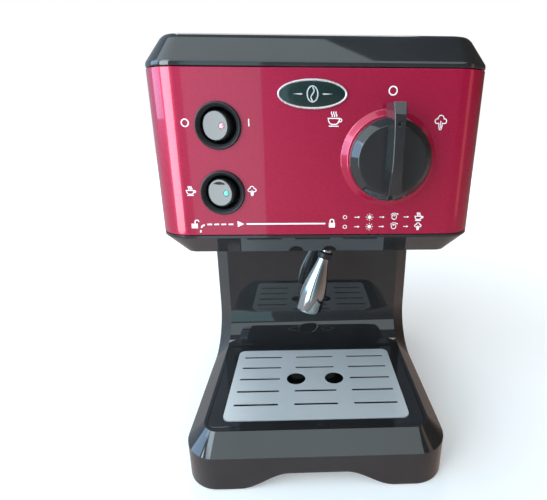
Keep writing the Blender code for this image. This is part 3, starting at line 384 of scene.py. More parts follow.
def white_print(name):
    """Screen-printed white with a slightly uneven, lightly rubbed film."""
    g = Graph(name)
    g.set(Specular_IOR_Level=0.4)
    rub = g.ramp(g.noise(700.0, 4), 0.62, 0.75, 0.0, 0.6)
    g.color(g.mix(rub, (0.86, 0.84, 0.85), (0.70, 0.45, 0.52)))
    g.uneven(500.0, 2, 0.35, 0.5)
    g.bump(g.noise(2200.0, 2), 0.04, 0.0001)
    return g.material


FINISH = {
    "gloss_black": gloss_plastic("gloss_black", (0.016, 0.0165, 0.0175), (0.022, 0.0225, 0.024)),
    "satin_black": satin_plastic("satin_black", (0.016, 0.018, 0.021), (0.024, 0.026, 0.029)),
    "crimson": crimson_paint(),
    "silver_steel": metal("silver_steel", (0.74, 0.765, 0.775), (0.82, 0.84, 0.85), 0.34, 0.44,
                          (0.5, 30.0, 30.0), 90.0, 0.03, 0.35),
    "chrome": spotted_chrome("chrome"),
    "aluminium": metal("aluminium", (0.48, 0.49, 0.50), (0.62, 0.62, 0.63), 0.38, 0.55,
                       (1.0, 1.0, 1.0), 300.0, 0.25),
    "brass": metal("brass", (0.52, 0.36, 0.13), (0.68, 0.50, 0.22), 0.18, 0.34,
                   (1.0, 1.0, 18.0), 150.0),
    "badge_green": gloss_plastic("badge_green", (0.004, 0.016, 0.014), (0.008, 0.024, 0.021),
                                 (0.12, 0.2)),
    "red_lens": lens("red_lens", (0.80, 0.16, 0.22), (1.0, 0.62, 0.68), 0.12),
    "green_lens": lens("green_lens", (0.06, 0.50, 0.40), (0.30, 0.90, 0.74), 0.10),
    "rubber": satin_plastic("rubber", (0.013, 0.013, 0.014), (0.024, 0.024, 0.025), 600.0,
                            0.72, 0.9, 0.3),
    "silicone": milky_silicone("silicone"),
    "smoked_plastic": smoked_plastic("smoked_plastic"),
    "coil_plastic": satin_plastic("coil_plastic", (0.030, 0.032, 0.036), (0.05, 0.052, 0.058),
                                  500.0, 0.5, 0.65, 0.25),
    "print": white_print("print"),
    "silver_trim": metal("silver_trim", (0.80, 0.79, 0.80), (0.88, 0.87, 0.88), 0.22, 0.34,
                         (1.0, 1.0, 1.0), 120.0, 0.006, 0.6),
}


# ---------------------------------------------------------------- modelling helpers
CUTTERS = bpy.data.collections.new("cutters")
bpy.context.scene.collection.children.link(CUTTERS)


def link(name, data, cutter=False):
    item = bpy.data.objects.new(name, data)
    collection = CUTTERS if cutter else bpy.context.scene.collection
    collection.objects.link(item)
    return item


def finished_mesh(name, bm):
    mesh = bpy.data.meshes.new(name)
    bm.to_mesh(mesh)
    bm.free()
    return mesh


def evaluated_mesh(item):
    bpy.context.view_layer.update()
    graph = bpy.context.evaluated_depsgraph_get()
    return bpy.data.meshes.new_from_object(item.evaluated_get(graph))


def from_bmesh(name, bm, cutter=False):
    bmesh.ops.recalc_face_normals(bm, faces=bm.faces)
    return link(name, finished_mesh(name, bm), cutter)


def boolean(target, tool, operation="DIFFERENCE"):
    modifier = target.modifiers.new(tool.name, "BOOLEAN")
    modifier.operation = operation
    modifier.object = tool
    modifier.solver = "EXACT"


def soften(item, width, segments=3, angle=25):
    modifier = item.modifiers.new("soften", "BEVEL")
    modifier.width = width
    modifier.segments = segments
    modifier.limit_method = "ANGLE"
    modifier.angle_limit = math.radians(angle)
    modifier.miter_outer = "MITER_ARC"
    return item


def bake(item, angle=32):
    """Apply the modifiers and shade smooth, with flat faces kept flat up to their bevels."""
    mesh = evaluated_mesh(item)
    item.modifiers.clear()
    item.data = mesh
    mesh.shade_smooth()
    mesh.set_sharp_from_angle(angle=math.radians(angle))
    weighted = item.modifiers.new("weighted_normals", "WEIGHTED_NORMAL")
    weighted.mode = "FACE_AREA"
    weighted.keep_sharp = True
    return item


def drop_cutters():
    for item in list(CUTTERS.objects):
        bpy.data.objects.remove(item, do_unlink=True)


def place(item, body, finish, *nodes, slot=None):
    """Give a finished piece its material and its body, and hide the CAD nodes that it stands for.
    """
    item.data.materials.clear()
    item.data.materials.append(FINISH[finish])
    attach(item, body)
    if nodes:
        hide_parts(*nodes)
    return item


def block(name, low, high, radius=0.0, upright=False, steps=6, cutter=False):
    low, high = Vector(low), Vector(high)
    bm = bmesh.new()
    bmesh.ops.create_cube(bm, size=1.0)
    bmesh.ops.scale(bm, vec=high - low, verts=bm.verts)
    bmesh.ops.translate(bm, vec=(low + high) / 2, verts=bm.verts)
    if radius:
        edges = [e for e in bm.edges
                 if not upright or abs(e.verts[0].co.z - e.verts[1].co.z) > 1e-6]
        bmesh.ops.bevel(bm, geom=edges, offset=radius, segments=steps, profile=0.5,
                        affect="EDGES")
    return from_bmesh(name, bm, cutter)


def carve(target, low, high, radius=0.0, upright=False, steps=6, operation="DIFFERENCE"):
    """Cut a block-shaped space into a piece, or add or keep one."""
    boolean(target, block("carver", low, high, radius, upright, steps, True), operation)


def turned(name, profile, centre, turn=UPRIGHT, steps=64, ring=False, cutter=False):
    """Revolve (radius, height) points, listed down the outer side, about local Z."""
    count = len(profile)
    edges = [(i, i + 1) for i in range(count - 1)]
    if ring:
        edges.append((count - 1, 0))
    mesh = bpy.data.meshes.new(name)
    mesh.from_pydata([(radius, 0.0, height) for radius, height in profile], edges, [])
    item = link(name, mesh, cutter)
    item.location = centre
    item.rotation_euler = turn
    screw = item.modifiers.new("screw", "SCREW")
    screw.steps = screw.render_steps = steps
    screw.use_merge_vertices = True
    screw.merge_threshold = 0.00001
    return item


def arc(centre, radius, start, end, steps):
    angles = [math.radians(start + (end - start) * i / steps) for i in range(steps + 1)]
    return [(centre[0] + radius * math.cos(a), centre[1] + radius * math.sin(a))
            for a in angles]


def rounded_rectangle(low, high, radii, steps=10):
    """Corner radii run front right, rear right, rear left, front left."""
    corners = ((high[0], low[1], -90), (high[0], high[1], 0),
               (low[0], high[1], 90), (low[0], low[1], 180))
    signs = ((-1, 1), (-1, -1), (1, -1), (1, 1))
    points = []
    for (x, y, start), (sx, sy), radius in zip(corners, signs, radii):
        points += arc((x + sx * radius, y + sy * radius), radius, start, start + 90, steps)
    return points


def sheet(name, outlines, low, high, plane="XY", cutter=False):
    """Flat outlines (the first is the edge, the rest are holes) as a plate."""
    curve = bpy.data.curves.new(name, "CURVE")
    curve.dimensions = "2D"
    curve.fill_mode = "BOTH"
    curve.extrude = (high - low) / 2
    for points in outlines:
        spline = curve.splines.new("POLY")
        spline.points.add(len(points) - 1)
        for point, (x, y) in zip(spline.points, points):
            point.co = (x, y, 0.0, 1.0)
        spline.use_cyclic_u = True
    source = link(name + "_outline", curve)
    mesh = evaluated_mesh(source)
    middle = (low + high) / 2
    matrix = Matrix.Translation((0.0, 0.0, middle))
    if plane == "XZ":
        matrix = Matrix.Translation((0.0, middle, 0.0)) @ Matrix.Rotation(math.pi / 2, 4, "X")
    mesh.transform(matrix)
    bpy.data.objects.remove(source, do_unlink=True)
    bm = bmesh.new()
    bm.from_mesh(mesh)
    bpy.data.meshes.remove(mesh)
    bmesh.ops.remove_doubles(bm, verts=bm.verts, dist=0.000001)
    bmesh.ops.dissolve_limit(bm, angle_limit=0.001, verts=bm.verts, edges=bm.edges)
    return from_bmesh(name, bm, cutter)


def loft(name, rings, cutter=False):
    bm = bmesh.new()
    rows = [[bm.verts.new(point) for point in ring] for ring in rings]
    count = len(rings[0])
    for lower, upper in zip(rows, rows[1:]):
        for i in range(count):
            j = (i + 1) % count
            bm.faces.new((lower[i], lower[j], upper[j], upper[i]))
    bm.faces.new(reversed(rows[0]))
    bm.faces.new(rows[-1])
    return from_bmesh(name, bm, cutter)


# ---------------------------------------------------------------- body
WALL = 0.003
BASE_TOP = 0.0433
COLUMN_FRONT = FRONT + 0.1595
HEAD_FLOOR = 0.1835
CHAMFER = 0.0132
BASE_CORNER, HEAD_CORNER, REAR_CORNER = 0.026, 0.021, 0.020
BASE_FILLET, HEAD_FILLET = 0.030, 0.020
BAY_HALF, BAY_FRONT, BAY_FLOOR = 0.080, REAR - 0.065, 0.108
ARCH_SPAN, ARCH_FLAT, ARCH_HEIGHT = 0.119, 0.042, 0.014
TRAY_LOW, TRAY_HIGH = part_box("drip_tray")
GROUP_LOW, GROUP_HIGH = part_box("group_head")
OUTLET_Y = REAR - 0.033
GLAND = Vector((0.070, REAR, 0.030))
TRAY_RECESS, TRAY_LEDGE = 0.0023, 0.0065
REAR_VENTS, SIDE_VENTS, VENT_PITCH = 5, 6, 0.007
VENT_HALF, SIDE_VENT_HALF, VENT_ROUND = 0.00125, 0.0012, 0.0009
LUG_PLACE, LUG_HALF, LUG_REACH = 0.040, 0.003, 0.0022      # lugs of the tank lid's hinge


def body_profile(inset, bottom, top):
    low = arc((COLUMN_FRONT - BASE_FILLET, BASE_TOP + BASE_FILLET), BASE_FILLET + inset,
              -90, 0, 14)
    high = arc((COLUMN_FRONT - HEAD_FILLET, HEAD_FLOOR - HEAD_FILLET), HEAD_FILLET + inset,
               0, 90, 10)
    inner = [(FRONT + inset, BASE_TOP - inset), *low, *high,
             (HEAD_FRONT + inset, HEAD_FLOOR + inset)]
    outer = [(HEAD_FRONT + inset, top), (REAR - inset, top), (REAR - inset, bottom),
             (FRONT + inset, bottom)]
    return inner + outer, len(inner) - 1


def body_solid(name, inset, bottom, top, cutter):
    """The C-shaped body across the width, its long inner edges chamfered."""
    points, inner_faces = body_profile(inset, bottom, top)
    half = HALF_WIDTH - inset
    bm = bmesh.new()
    left = [bm.verts.new((-half, y, z)) for y, z in points]
    right = [bm.verts.new((half, y, z)) for y, z in points]
    bm.faces.new(left)
    bm.faces.new(reversed(right))
    for i in range(len(points)):
        j = (i + 1) % len(points)
        face = bm.faces.new((left[i], right[i], right[j], left[j]))
        face.material_index = 1 if i < inner_faces else 0
    bmesh.ops.recalc_face_normals(bm, faces=bm.faces)
    for y, radius in ((FRONT + inset, BASE_CORNER), (HEAD_FRONT + inset, HEAD_CORNER),
                      (REAR - inset, REAR_CORNER)):
        edges = [e for e in bm.edges if all(abs(v.co.y - y) < 1e-6 for v in e.verts)
                 and abs(e.verts[0].co.x - e.verts[1].co.x) < 1e-6]
        bmesh.ops.bevel(bm, geom=edges, offset=radius - inset, segments=12, profile=0.5,
                        affect="EDGES")
    rim = [e for e in bm.edges if sum(f.material_index for f in e.link_faces) == 1]
    bmesh.ops.bevel(bm, geom=rim, offset=CHAMFER - inset * (2 - math.sqrt(2)), segments=1,
                    affect="EDGES")
    for face in bm.faces:
        face.material_index = 0
    return from_bmesh(name, bm, cutter)


def arch_cutter(steps=24):
    """The low arch under the front: a flat top with an eased rise on either side."""
    rise = []
    for i in range(steps + 1):
        t = i / steps
        rise.append((-ARCH_SPAN / 2 + (ARCH_SPAN - ARCH_FLAT) / 2 * t,
                     BODY_BOTTOM + ARCH_HEIGHT * (1 - math.cos(math.pi * t)) / 2))
    fall = [(-x, z) for x, z in reversed(rise)]
    floor = [(ARCH_SPAN / 2, -0.01), (-ARCH_SPAN / 2, -0.01)]
    return sheet("arch_cutter", [rise + fall + floor], FRONT - 0.005, FRONT + 0.008, "XZ", True)


def bay(grow, low, high):
    """Corners of the tank's bay, open to the rear, grown by a wall."""
    return ((-BAY_HALF - grow, BAY_FRONT - grow, low), (BAY_HALF + grow, REAR + 0.01, high))


def drill(centre, radius, turn=UPRIGHT, reach=0.02):
    return turned("drill", [(0, reach), (radius, reach), (radius, -reach), (0, -reach)],
                  centre, turn, 48, cutter=True)


def make_body():
    shell = body_solid("body_shell", 0.0, BODY_BOTTOM, BODY_TOP, False)
    boolean(shell, arch_cutter())
    soften(shell, 0.0009, 3, 20)
    cavity = body_solid("body_cavity", WALL, -0.01, BODY_TOP + 0.01, True)
    carve(cavity, *bay(WALL, BAY_FLOOR - WALL, BODY_TOP + 0.02))
    boolean(shell, cavity)
    carve(shell, *bay(0.0, BAY_FLOOR, BODY_TOP + 0.02))
    over = BASE_TOP + 0.003
    carve(shell, (TRAY_LOW.x - GAP, TRAY_LOW.y - GAP, BASE_TOP - TRAY_RECESS),
          (TRAY_HIGH.x + GAP, TRAY_HIGH.y + GAP, over), 0.0062, True)
    carve(shell, (TRAY_LOW.x + TRAY_LEDGE, TRAY_LOW.y + TRAY_LEDGE, BASE_TOP - 0.01),
          (TRAY_HIGH.x - TRAY_LEDGE, TRAY_HIGH.y - TRAY_LEDGE, over), 0.008, True)
    group_y = (GROUP_LOW.y + GROUP_HIGH.y) / 2
    for centre, radius, turn, reach in (
            ((0.0, group_y, HEAD_FLOOR), 0.0346, UPRIGHT, 0.02),
            ((WAND_BALL.x, WAND_BALL.y, HEAD_FLOOR), 0.0091, UPRIGHT, 0.02),
            ((0.0, OUTLET_Y, BAY_FLOOR), 0.009, UPRIGHT, 0.01),
            (GLAND, 0.0083, FACING, 0.01)):
        boolean(shell, drill(centre, radius, turn, reach))
    for i in range(REAR_VENTS):
        z = 0.051 + VENT_PITCH * i
        carve(shell, (-0.050, REAR - 0.01, z - VENT_HALF), (0.010, REAR + 0.01, z + VENT_HALF),
              VENT_ROUND)
    bake(shell)
    place(shell, "machine", "gloss_black", "body_housing")


# ---------------------------------------------------------------- head
FASCIA_LOW, FASCIA_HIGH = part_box("front_fascia")
FASCIA_THICKNESS = 0.002
SWITCH_HOLE, SPINDLE_HOLE = 0.0116, 0.0050
BOSS_RADIUS, BOSS_TOP_RADIUS, BOSS_HEIGHT = 0.0285, 0.0248, 0.0034
SWITCHES = {"power": Vector(JOINTS["power_rock"]["pos_m"]),
            "mode": Vector(JOINTS["mode_rock"]["pos_m"])}


def make_fascia():
    def skin(inset):
        x, r, y = HALF_WIDTH - inset, HEAD_CORNER - inset, HEAD_FRONT + HEAD_CORNER
        return [(-x, FASCIA_HIGH.y), *arc((-x + r, y), r, 180, 270, 24),
                *arc((x - r, y), r, 270, 360, 24), (x, FASCIA_HIGH.y)]
    outline = skin(0.0) + skin(FASCIA_THICKNESS)[::-1]
    fascia = sheet("fascia_shell", [outline], FASCIA_LOW.z, FASCIA_HIGH.z)
    soften(fascia, 0.0006, 3, 40)
    r, top, rise = BOSS_RADIUS, BOSS_TOP_RADIUS, BOSS_HEIGHT
    boss = turned("boss", [(0.0, rise), (top - 0.0004, rise), (top, rise - 0.0001),
                           (top + 0.0004, rise - 0.0004), (r - 0.0006, 0.0004),
                           (r - 0.0002, 0.0001), (r, 0.0), (r, -0.0015), (0.0, -0.0015)],
                  on_front(KNOB), FACING, 96, cutter=True)
    boolean(fascia, boss, "UNION")
    for centre in SWITCHES.values():
        boolean(fascia, drill(on_front(centre), SWITCH_HOLE, FACING, 0.01))
    boolean(fascia, drill(on_front(KNOB), SPINDLE_HOLE, FACING, 0.01))
    bake(fascia, 24)
    place(fascia, "machine", "crimson", "front_fascia")


def make_head_housing():
    low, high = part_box("head_housing")

    def section(inset, start):
        return rounded_rectangle((-HALF_WIDTH + inset, start),
                                 (HALF_WIDTH - inset, REAR - inset),
                                 (0.0001, REAR_CORNER - inset, REAR_CORNER - inset, 0.0001), 16)
    head = sheet("head_shell", [section(0.0, low.y)], low.z, high.z)
    soften(head, 0.0005, 2, 40)
    space = sheet("head_space", [section(WALL, low.y - 0.02)], low.z - 0.01, high.z + 0.01,
                  "XY", True)
    carve(space, *bay(WALL, low.z - 0.02, high.z + 0.02))
    boolean(head, space)
    carve(head, *bay(0.0, low.z - 0.02, high.z + 0.02))
    for side in (-1, 1):
        for i in range(SIDE_VENTS):
            y = 0.060 + VENT_PITCH * i
            carve(head, (side * HALF_WIDTH - 0.006, y - SIDE_VENT_HALF, high.z - 0.034),
                  (side * HALF_WIDTH + 0.006, y + SIDE_VENT_HALF, high.z - 0.012), VENT_ROUND)
    bake(head)
    place(head, "machine", "gloss_black", "head_housing")


COVER_LIP, COVER_SHOULDER, COVER_INSET, COVER_WALL = 0.0026, 0.3123, 0.009, 0.0026


def cover_rings(inset, bottom, top):
    steps = [(bottom, 0.0), (COVER_BOTTOM + COVER_LIP, 0.0), (COVER_SHOULDER, COVER_INSET),
             (top - 0.0006, COVER_INSET + 0.0022), (top, COVER_INSET + 0.0050)]
    rings = []
    for z, step in steps:
        pull = inset + step
        outline = rounded_rectangle((-HALF_WIDTH + pull, HEAD_FRONT + pull),
                                    (HALF_WIDTH - pull, REAR - pull),
                                    (HEAD_CORNER - pull * 0.8,) * 4, 18)
        drop = inset if step else 0.0
        rings.append([(x, y, z - drop) for x, y in outline])
    return rings


def crowned_shell(name):
    """The form that the top cover and the tank lid are both cut from, so their lines run on."""
    shell = loft(name, cover_rings(0.0, COVER_BOTTOM, HEIGHT))
    soften(shell, 0.0008, 3, 14)
    return shell, loft("hollow", cover_rings(COVER_WALL, COVER_BOTTOM - 0.005, HEIGHT), True)


def make_cover():
    cover, hollow = crowned_shell("top_shell")
    boolean(cover, hollow)
    carve(cover, (-0.078, HEAD_FRONT + 0.025, HEIGHT - 0.0012),
          (0.078, BAY_FRONT - 0.014, HEIGHT + 0.01), 0.008, True)
    carve(cover, *bay(0.0, COVER_BOTTOM - 0.01, HEIGHT + 0.01))
    bake(cover, 24)
    place(cover, "machine", "gloss_black", "top_cover")


def make_lid():
    low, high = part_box("tank_lid")
    lid, hollow = crowned_shell("lid_shell")
    carve(hollow, (-BAY_HALF + 0.003, BAY_FRONT + 0.003, low.z - 0.02),
          (BAY_HALF - 0.003, REAR + 0.02, HEIGHT + 0.02), operation="INTERSECT")
    boolean(lid, hollow)
    carve(lid, (low.x, low.y, low.z - 0.01), (high.x, REAR + 0.01, HEIGHT + 0.01),
          operation="INTERSECT")
    for side in (-1, 1):
        x = side * (LUG_PLACE + 2 * LUG_HALF)
        half = LUG_HALF - 0.0005
        carve(lid, (x - half, LID_HINGE.y - LUG_REACH, LID_HINGE.z - LUG_REACH),
              (x + half, LID_HINGE.y + LUG_REACH, HEIGHT - 0.0015), operation="UNION")
        x = side * LUG_PLACE
        half = LUG_HALF + 0.0008
        carve(lid, (x - half, LID_HINGE.y + LUG_REACH, 0.290),
              (x + half, REAR + 0.002, LID_HINGE.z + 0.0035))
    carve(lid, (-0.022, BAY_FRONT - 0.004, HEIGHT - 0.0022),
          (0.022, BAY_FRONT + 0.012, HEIGHT + 0.01), 0.004, True)
    bake(lid, 24)
    place(lid, "tank_lid", "gloss_black", "tank_lid")


# ---------------------------------------------------------------- badge and printed symbols
BADGE_LOW, BADGE_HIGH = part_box("badge_rim")
BADGE_MIDDLE = (BADGE_LOW + BADGE_HIGH) / 2
BADGE_HALF = (BADGE_HIGH - BADGE_LOW) / 2
PRINT_DEPTH = 0.00006
PRINT_STEP = 0.000008                  # keeps crossing strokes out of one plane
LINE = 0.00034                        # half width of a printed line
PATH_LINE = 0.00048                   # and of the line between the padlocks
BADGE_RIM = 0.0013
PRINT_LEFT, PRINT_RIGHT = -0.0777, -0.0405
LOCK_HEIGHT = 0.2058
HINT_ROWS, HINT_START, HINT_PITCH = (0.2100, 0.2038), 0.0168, 0.0156


def oval(half_x, half_z, steps=72):
    return [(half_x * math.cos(2 * math.pi * i / steps), half_z * math.sin(2 * math.pi * i / steps))
            for i in range(steps)]


def make_badge():
    """Blank enamel oval in a rounded bright rim, with a small coffee bean as ornament."""
    def rings(rows):
        return [[(BADGE_MIDDLE.x + x, HEAD_FRONT - lift, BADGE_MIDDLE.z + z)
                 for x, z in oval(BADGE_HALF.x - shrink, BADGE_HALF.z - shrink)]
                for shrink, lift in rows]
    rim = rings(((0.0, 0.0003), (0.0, 0.0011), (0.0003, 0.0016), (0.00065, 0.0018),
                 (0.0010, 0.0016), (BADGE_RIM, 0.0011), (BADGE_RIM, 0.0003)))
    bm = bmesh.new()
    rows = [[bm.verts.new(point) for point in ring] for ring in rim]
    for lower, upper in zip(rows, rows[1:] + rows[:1]):
        for i in range(len(lower)):
            j = (i + 1) % len(lower)
            bm.faces.new((lower[i], lower[j], upper[j], upper[i]))
    place(bake(from_bmesh("badge_ring", bm), 50), "machine", "silver_trim", "badge_rim",
          slot="chrome")
    edge = BADGE_RIM + GAP / 3
    enamel = rings(((edge, 0.0003), (edge, 0.0010), (edge + 0.002, 0.00125),
                    (edge + 0.006, 0.00145)))
    place(bake(loft("badge_enamel", enamel), 40), "machine", "badge_green", "badge_plate")
    crease = [(-0.00088 * math.sin(i / 14 * 2 * math.pi), -0.0036 + 0.0072 * i / 14)
              for i in range(15)]
    bean = [ribbon(closed(oval(0.0030, 0.0042, 40)), 0.00035), ribbon(crease, 0.00035)]
    for side in (-1, 1):
        bean.append([(side * 0.0055, 0.0), (side * 0.0065, 0.00045), (side * 0.0115, 0.0),
                     (side * 0.0065, -0.00045)])
    stamp("badge_bean", bean, (BADGE_MIDDLE.x, BADGE_MIDDLE.z), 0.00150, "silver_trim", "chrome")


def closed(points):
    return points + points[:1]


def polar(centre, radius, angles):
    return [(centre[0] + radius * math.cos(math.radians(a)),
             centre[1] + radius * math.sin(math.radians(a))) for a in angles]


def ribbon(points, half):
    """The two edges of a constant-width stroke along a polyline, open or closed."""
    loop = math.dist(points[0], points[-1]) < 1e-9
    count = len(points)
    left, right = [], []
    for i, (x, z) in enumerate(points):
        before = points[i - 1] if i else (points[-2] if loop else None)
        after = points[i + 1] if i < count - 1 else (points[1] if loop else None)
        normals = []
        for a, b in ((before, (x, z)), ((x, z), after)):
            if a is None or b is None:
                continue
            dx, dz = b[0] - a[0], b[1] - a[1]
            length = math.hypot(dx, dz) or 1.0
            normals.append((-dz / length, dx / length))
        nx = sum(n[0] for n in normals) / len(normals)
        nz = sum(n[1] for n in normals) / len(normals)
        size = max(nx * nx + nz * nz, 0.25)
        left.append((x + half * nx / size, z + half * nz / size))
        right.append((x - half * nx / size, z - half * nz / size))
    return {"left": left, "right": right}


def stamp(name, shapes, centre, lift=PRINT_DEPTH, finish="print", slot="gloss_black"):
    """Flat printed shapes on the fascia: strokes and filled polygons, a film thick."""
    bm = bmesh.new()
    for layer, shape in enumerate(shapes):
        y = HEAD_FRONT - lift - layer * PRINT_STEP

        def vertices(points):
            return [bm.verts.new((centre[0] + x, y, centre[1] + z)) for x, z in points]
        if isinstance(shape, dict):
            left, right = vertices(shape["left"]), vertices(shape["right"])
            for i in range(len(left) - 1):
                bm.faces.new((left[i], left[i + 1], right[i + 1], right[i]))
        else:
            bm.faces.new(vertices(shape))
    bm.normal_update()
    bmesh.ops.reverse_faces(bm, faces=[f for f in bm.faces if f.normal.y > 0])
    item = link(name, finished_mesh(name, bm))
    film = item.modifiers.new("film", "SOLIDIFY")
    film.thickness = PRINT_DEPTH / 2
    film.offset = -1.0
    bake(item, 60)
    place(item, "machine", finish, slot=slot)


def circle_icon(radius):
    return [ribbon(closed(oval(radius, radius, 40)), LINE)]


def cup_icon(size):
    """Cup, handle, saucer and two curls of steam."""
    bowl = [(-0.50, 0.10), (-0.46, -0.12), (-0.34, -0.30), (-0.20, -0.36), (0.12, -0.36),
            (0.26, -0.30), (0.38, -0.12), (0.42, 0.10), (-0.50, 0.10)]
    handle = [(0.40, 0.04), (0.56, 0.06), (0.62, -0.04), (0.56, -0.15), (0.34, -0.18)]
    saucer = [(-0.44, -0.50), (0.36, -0.50)]
    shapes = [bowl, handle, saucer]
    for x in (-0.20, -0.02, 0.16):
        shapes.append([(x + 0.05 * math.sin(t * 2 * math.pi), 0.20 + 0.42 * t)
                       for t in [i / 8 for i in range(9)]])
    return [ribbon([(px * size, pz * size) for px, pz in shape], LINE * 0.8)
            for shape in shapes]


def steam_icon(size):
    """Three-lobed plume over a rising jet."""
    shapes = [polar((x, z), radius, range(start, end + 1, 15)) for x, z, radius, start, end in
              ((-0.27, 0.10, 0.17, 75, 315), (0.0, 0.30, 0.22, -15, 195),
               (0.27, 0.10, 0.17, -135, 105))]
    for side in (-1, 1):
        shapes.append([(side * 0.13, -0.02), (side * 0.12, -0.30), (side * 0.05, -0.54)])
    shapes.append([(0.0, 0.12), (0.0, -0.40)])
    return [ribbon([(px * size, pz * size) for px, pz in shape], LINE * 0.75)
            for shape in shapes]


def padlock_icon(opened):
    """Filled body and a shackle that is swung aside when the lock is open."""
    body = [(-0.0019, -0.0024), (0.0019, -0.0024), (0.0019, 0.0006), (-0.0019, 0.0006)]
    shackle = [(-0.0012, 0.0006), *polar((0.0, 0.0017), 0.0012, range(180, -1, -20))]
    if opened:
        shackle = [(x + 0.0016, z) for x, z in shackle]
    else:
        shackle.append((0.0012, 0.0006))
    return [body, ribbon(shackle, 0.00032)]


def lock_path():
    """Line from the open padlock to the closed one: a rising curl, dashes, arrow, long bar."""
    strokes = [[(-0.0738, 0.2006), (-0.0737, 0.2022)],
               [(-0.0732, 0.2038), (-0.0724, 0.2049), (-0.0710, 0.2056)]]
    for i in range(4):
        x = -0.0694 + 0.0044 * i
        strokes.append([(x, 0.2058), (x + 0.0030, 0.2059)])
    shapes = [ribbon(stroke, PATH_LINE) for stroke in strokes]
    shapes.append([(-0.0505, 0.2080), (-0.0464, 0.2060), (-0.0505, 0.2040)])
    return shapes + [ribbon([(-0.0450, 0.2060), (0.0045, 0.2060)], PATH_LINE)]


def make_prints():
    power, mode = SWITCHES["power"], SWITCHES["mode"]
    bar = [ribbon([(0, -0.0021), (0, 0.0021)], LINE)]
    for name, shapes, centre in (
            ("off", circle_icon(0.0020), (PRINT_LEFT + 0.0006, power.z + 0.0016)),
            ("on", bar, (PRINT_RIGHT, power.z + 0.0018)),
            ("cup_small", cup_icon(0.0050), (PRINT_LEFT, mode.z + 0.001)),
            ("steam_small", steam_icon(0.0056), (PRINT_RIGHT, mode.z + 0.001)),
            ("knob_off", circle_icon(0.0023), (0.0426, 0.2842)),
            ("knob_cup", cup_icon(0.0072), (0.0091, 0.2683)),
            ("knob_steam", steam_icon(0.0078), (0.0719, 0.2669)),
            ("lock_open", padlock_icon(True), (-0.0772, LOCK_HEIGHT)),
            ("lock_closed", padlock_icon(False), (0.0086, LOCK_HEIGHT)),
            ("lock_path", lock_path(), (0.0, 0.0))):
        stamp(f"print_{name}", shapes, centre)
    make_hint_print()


def lamp_icon(lit):
    if not lit:
        return [ribbon(closed(oval(0.0011, 0.0011, 24)), 0.00018)]
    shapes = [oval(0.0011, 0.0011, 24)]
    for angle in range(0, 360, 45):
        shapes.append(ribbon([polar((0, 0), r, [angle])[0] for r in (0.0016, 0.0024)], 0.00016))
    return shapes


def dial_icon():
    """A small knob and a curved arrow round it."""
    return [ribbon(closed(oval(0.0015, 0.0015, 28)), 0.0002),
            ribbon([(0, 0.0003), (0, 0.0012)], 0.0002),
            ribbon(polar((0, 0), 0.0025, range(150, 44, -15)), 0.00018),
            [(0.0013, 0.0022), (0.0024, 0.0023), (0.0024, 0.0012)]]


def make_hint_print():
    """Wordless hint under the knob: wait until the lamp is lit, turn the dial, get the drink."""
    arrow = [ribbon([(-0.0017, 0), (0.0005, 0)], 0.0002),
             [(0.0004, 0.0007), (0.0017, 0.0), (0.0004, -0.0007)]]
    for row, (z, result) in enumerate(zip(HINT_ROWS, (cup_icon(0.0046), steam_icon(0.0046)))):
        steps = (("lamp", lamp_icon(False)), ("lit", lamp_icon(True)), ("dial", dial_icon()),
                 ("result", result))
        for i, (label, icon) in enumerate(steps):
            x = HINT_START + HINT_PITCH * i
            stamp(f"print_hint_{label}_{row}", icon, (x, z))
            if i:
                stamp(f"print_hint_arrow_{row}_{i}", arrow, (x - HINT_PITCH / 2, z))


# ---------------------------------------------------------------- switches
SWITCH_TILT = math.radians(17)
LAMP_OFFSET = 0.0042


def make_switch(label, lens_slot):
    centre = SWITCHES[label]
    bezel = turned(f"{label}_ring",
                   [(0.0104, -0.0020), (0.01045, -0.0008), (0.0107, -0.0001), (0.0118, 0.0014),
                    (0.0123, 0.0020), (0.0126, 0.00215), (0.0130, 0.0020), (0.0133, 0.0015),
                    (0.0135, 0.0009), (0.0135, GAP), (0.0113, GAP), (0.0113, -0.0150),
                    (0.0104, -0.0150)], on_front(centre), FACING, 72, True)
    place(bake(bezel, 40), "machine", "satin_black", f"{label}_bezel")
    tilt = (math.pi / 2, 0, -SWITCH_TILT)

    def on_button(height):
        return centre + Euler(tilt).to_matrix() @ Vector((LAMP_OFFSET, 0, height))
    rocker = turned(f"{label}_button",
                    [(0, 0.0050), (0.0040, 0.00505), (0.0068, 0.0053), (0.0078, 0.0054),
                     (0.0083, 0.0052), (0.0086, 0.0047), (0.0088, 0.0030), (0.0088, -0.0010),
                     (0.0070, -0.0050), (0, -0.0050)], centre, tilt, 72)
    boolean(rocker, drill(on_button(0.0242), 0.0020, tilt))
    place(bake(rocker, 40), f"{label}_rocker", "gloss_black", f"{label}_rocker")
    cap = turned(f"{label}_lamp",
                 [(0, 0.0063), (0.0007, 0.0062), (0.0013, 0.0058), (0.0017, 0.0052),
                  (0.0018, 0.0044), (0, 0.0044)], on_button(0.0), tilt, 32)
    place(bake(cap, 40), f"{label}_rocker", lens_slot, f"{label}_lens")


# ---------------------------------------------------------------- knob
KNOB_RADIUS, KNOB_FACE_RADIUS, KNOB_LENGTH, KNOB_BEVEL = 0.0240, 0.0194, 0.0145, 0.0050
FIN_REACH, FIN_FOOT = 0.0275, 0.0060
FIN_ROWS = (                          # height, depth of the ridge, half width at ridge and foot
    (-0.0182, 0.0242, 0.0037, 0.0053), (-0.0075, 0.0267, 0.0032, 0.0048),
    (0.0010, FIN_REACH, 0.0029, 0.0043), (0.0090, FIN_REACH, 0.0029, 0.0041),
    (0.0220, 0.0271, 0.0031, 0.0039), (0.0314, 0.0248, 0.0036, 0.0040))


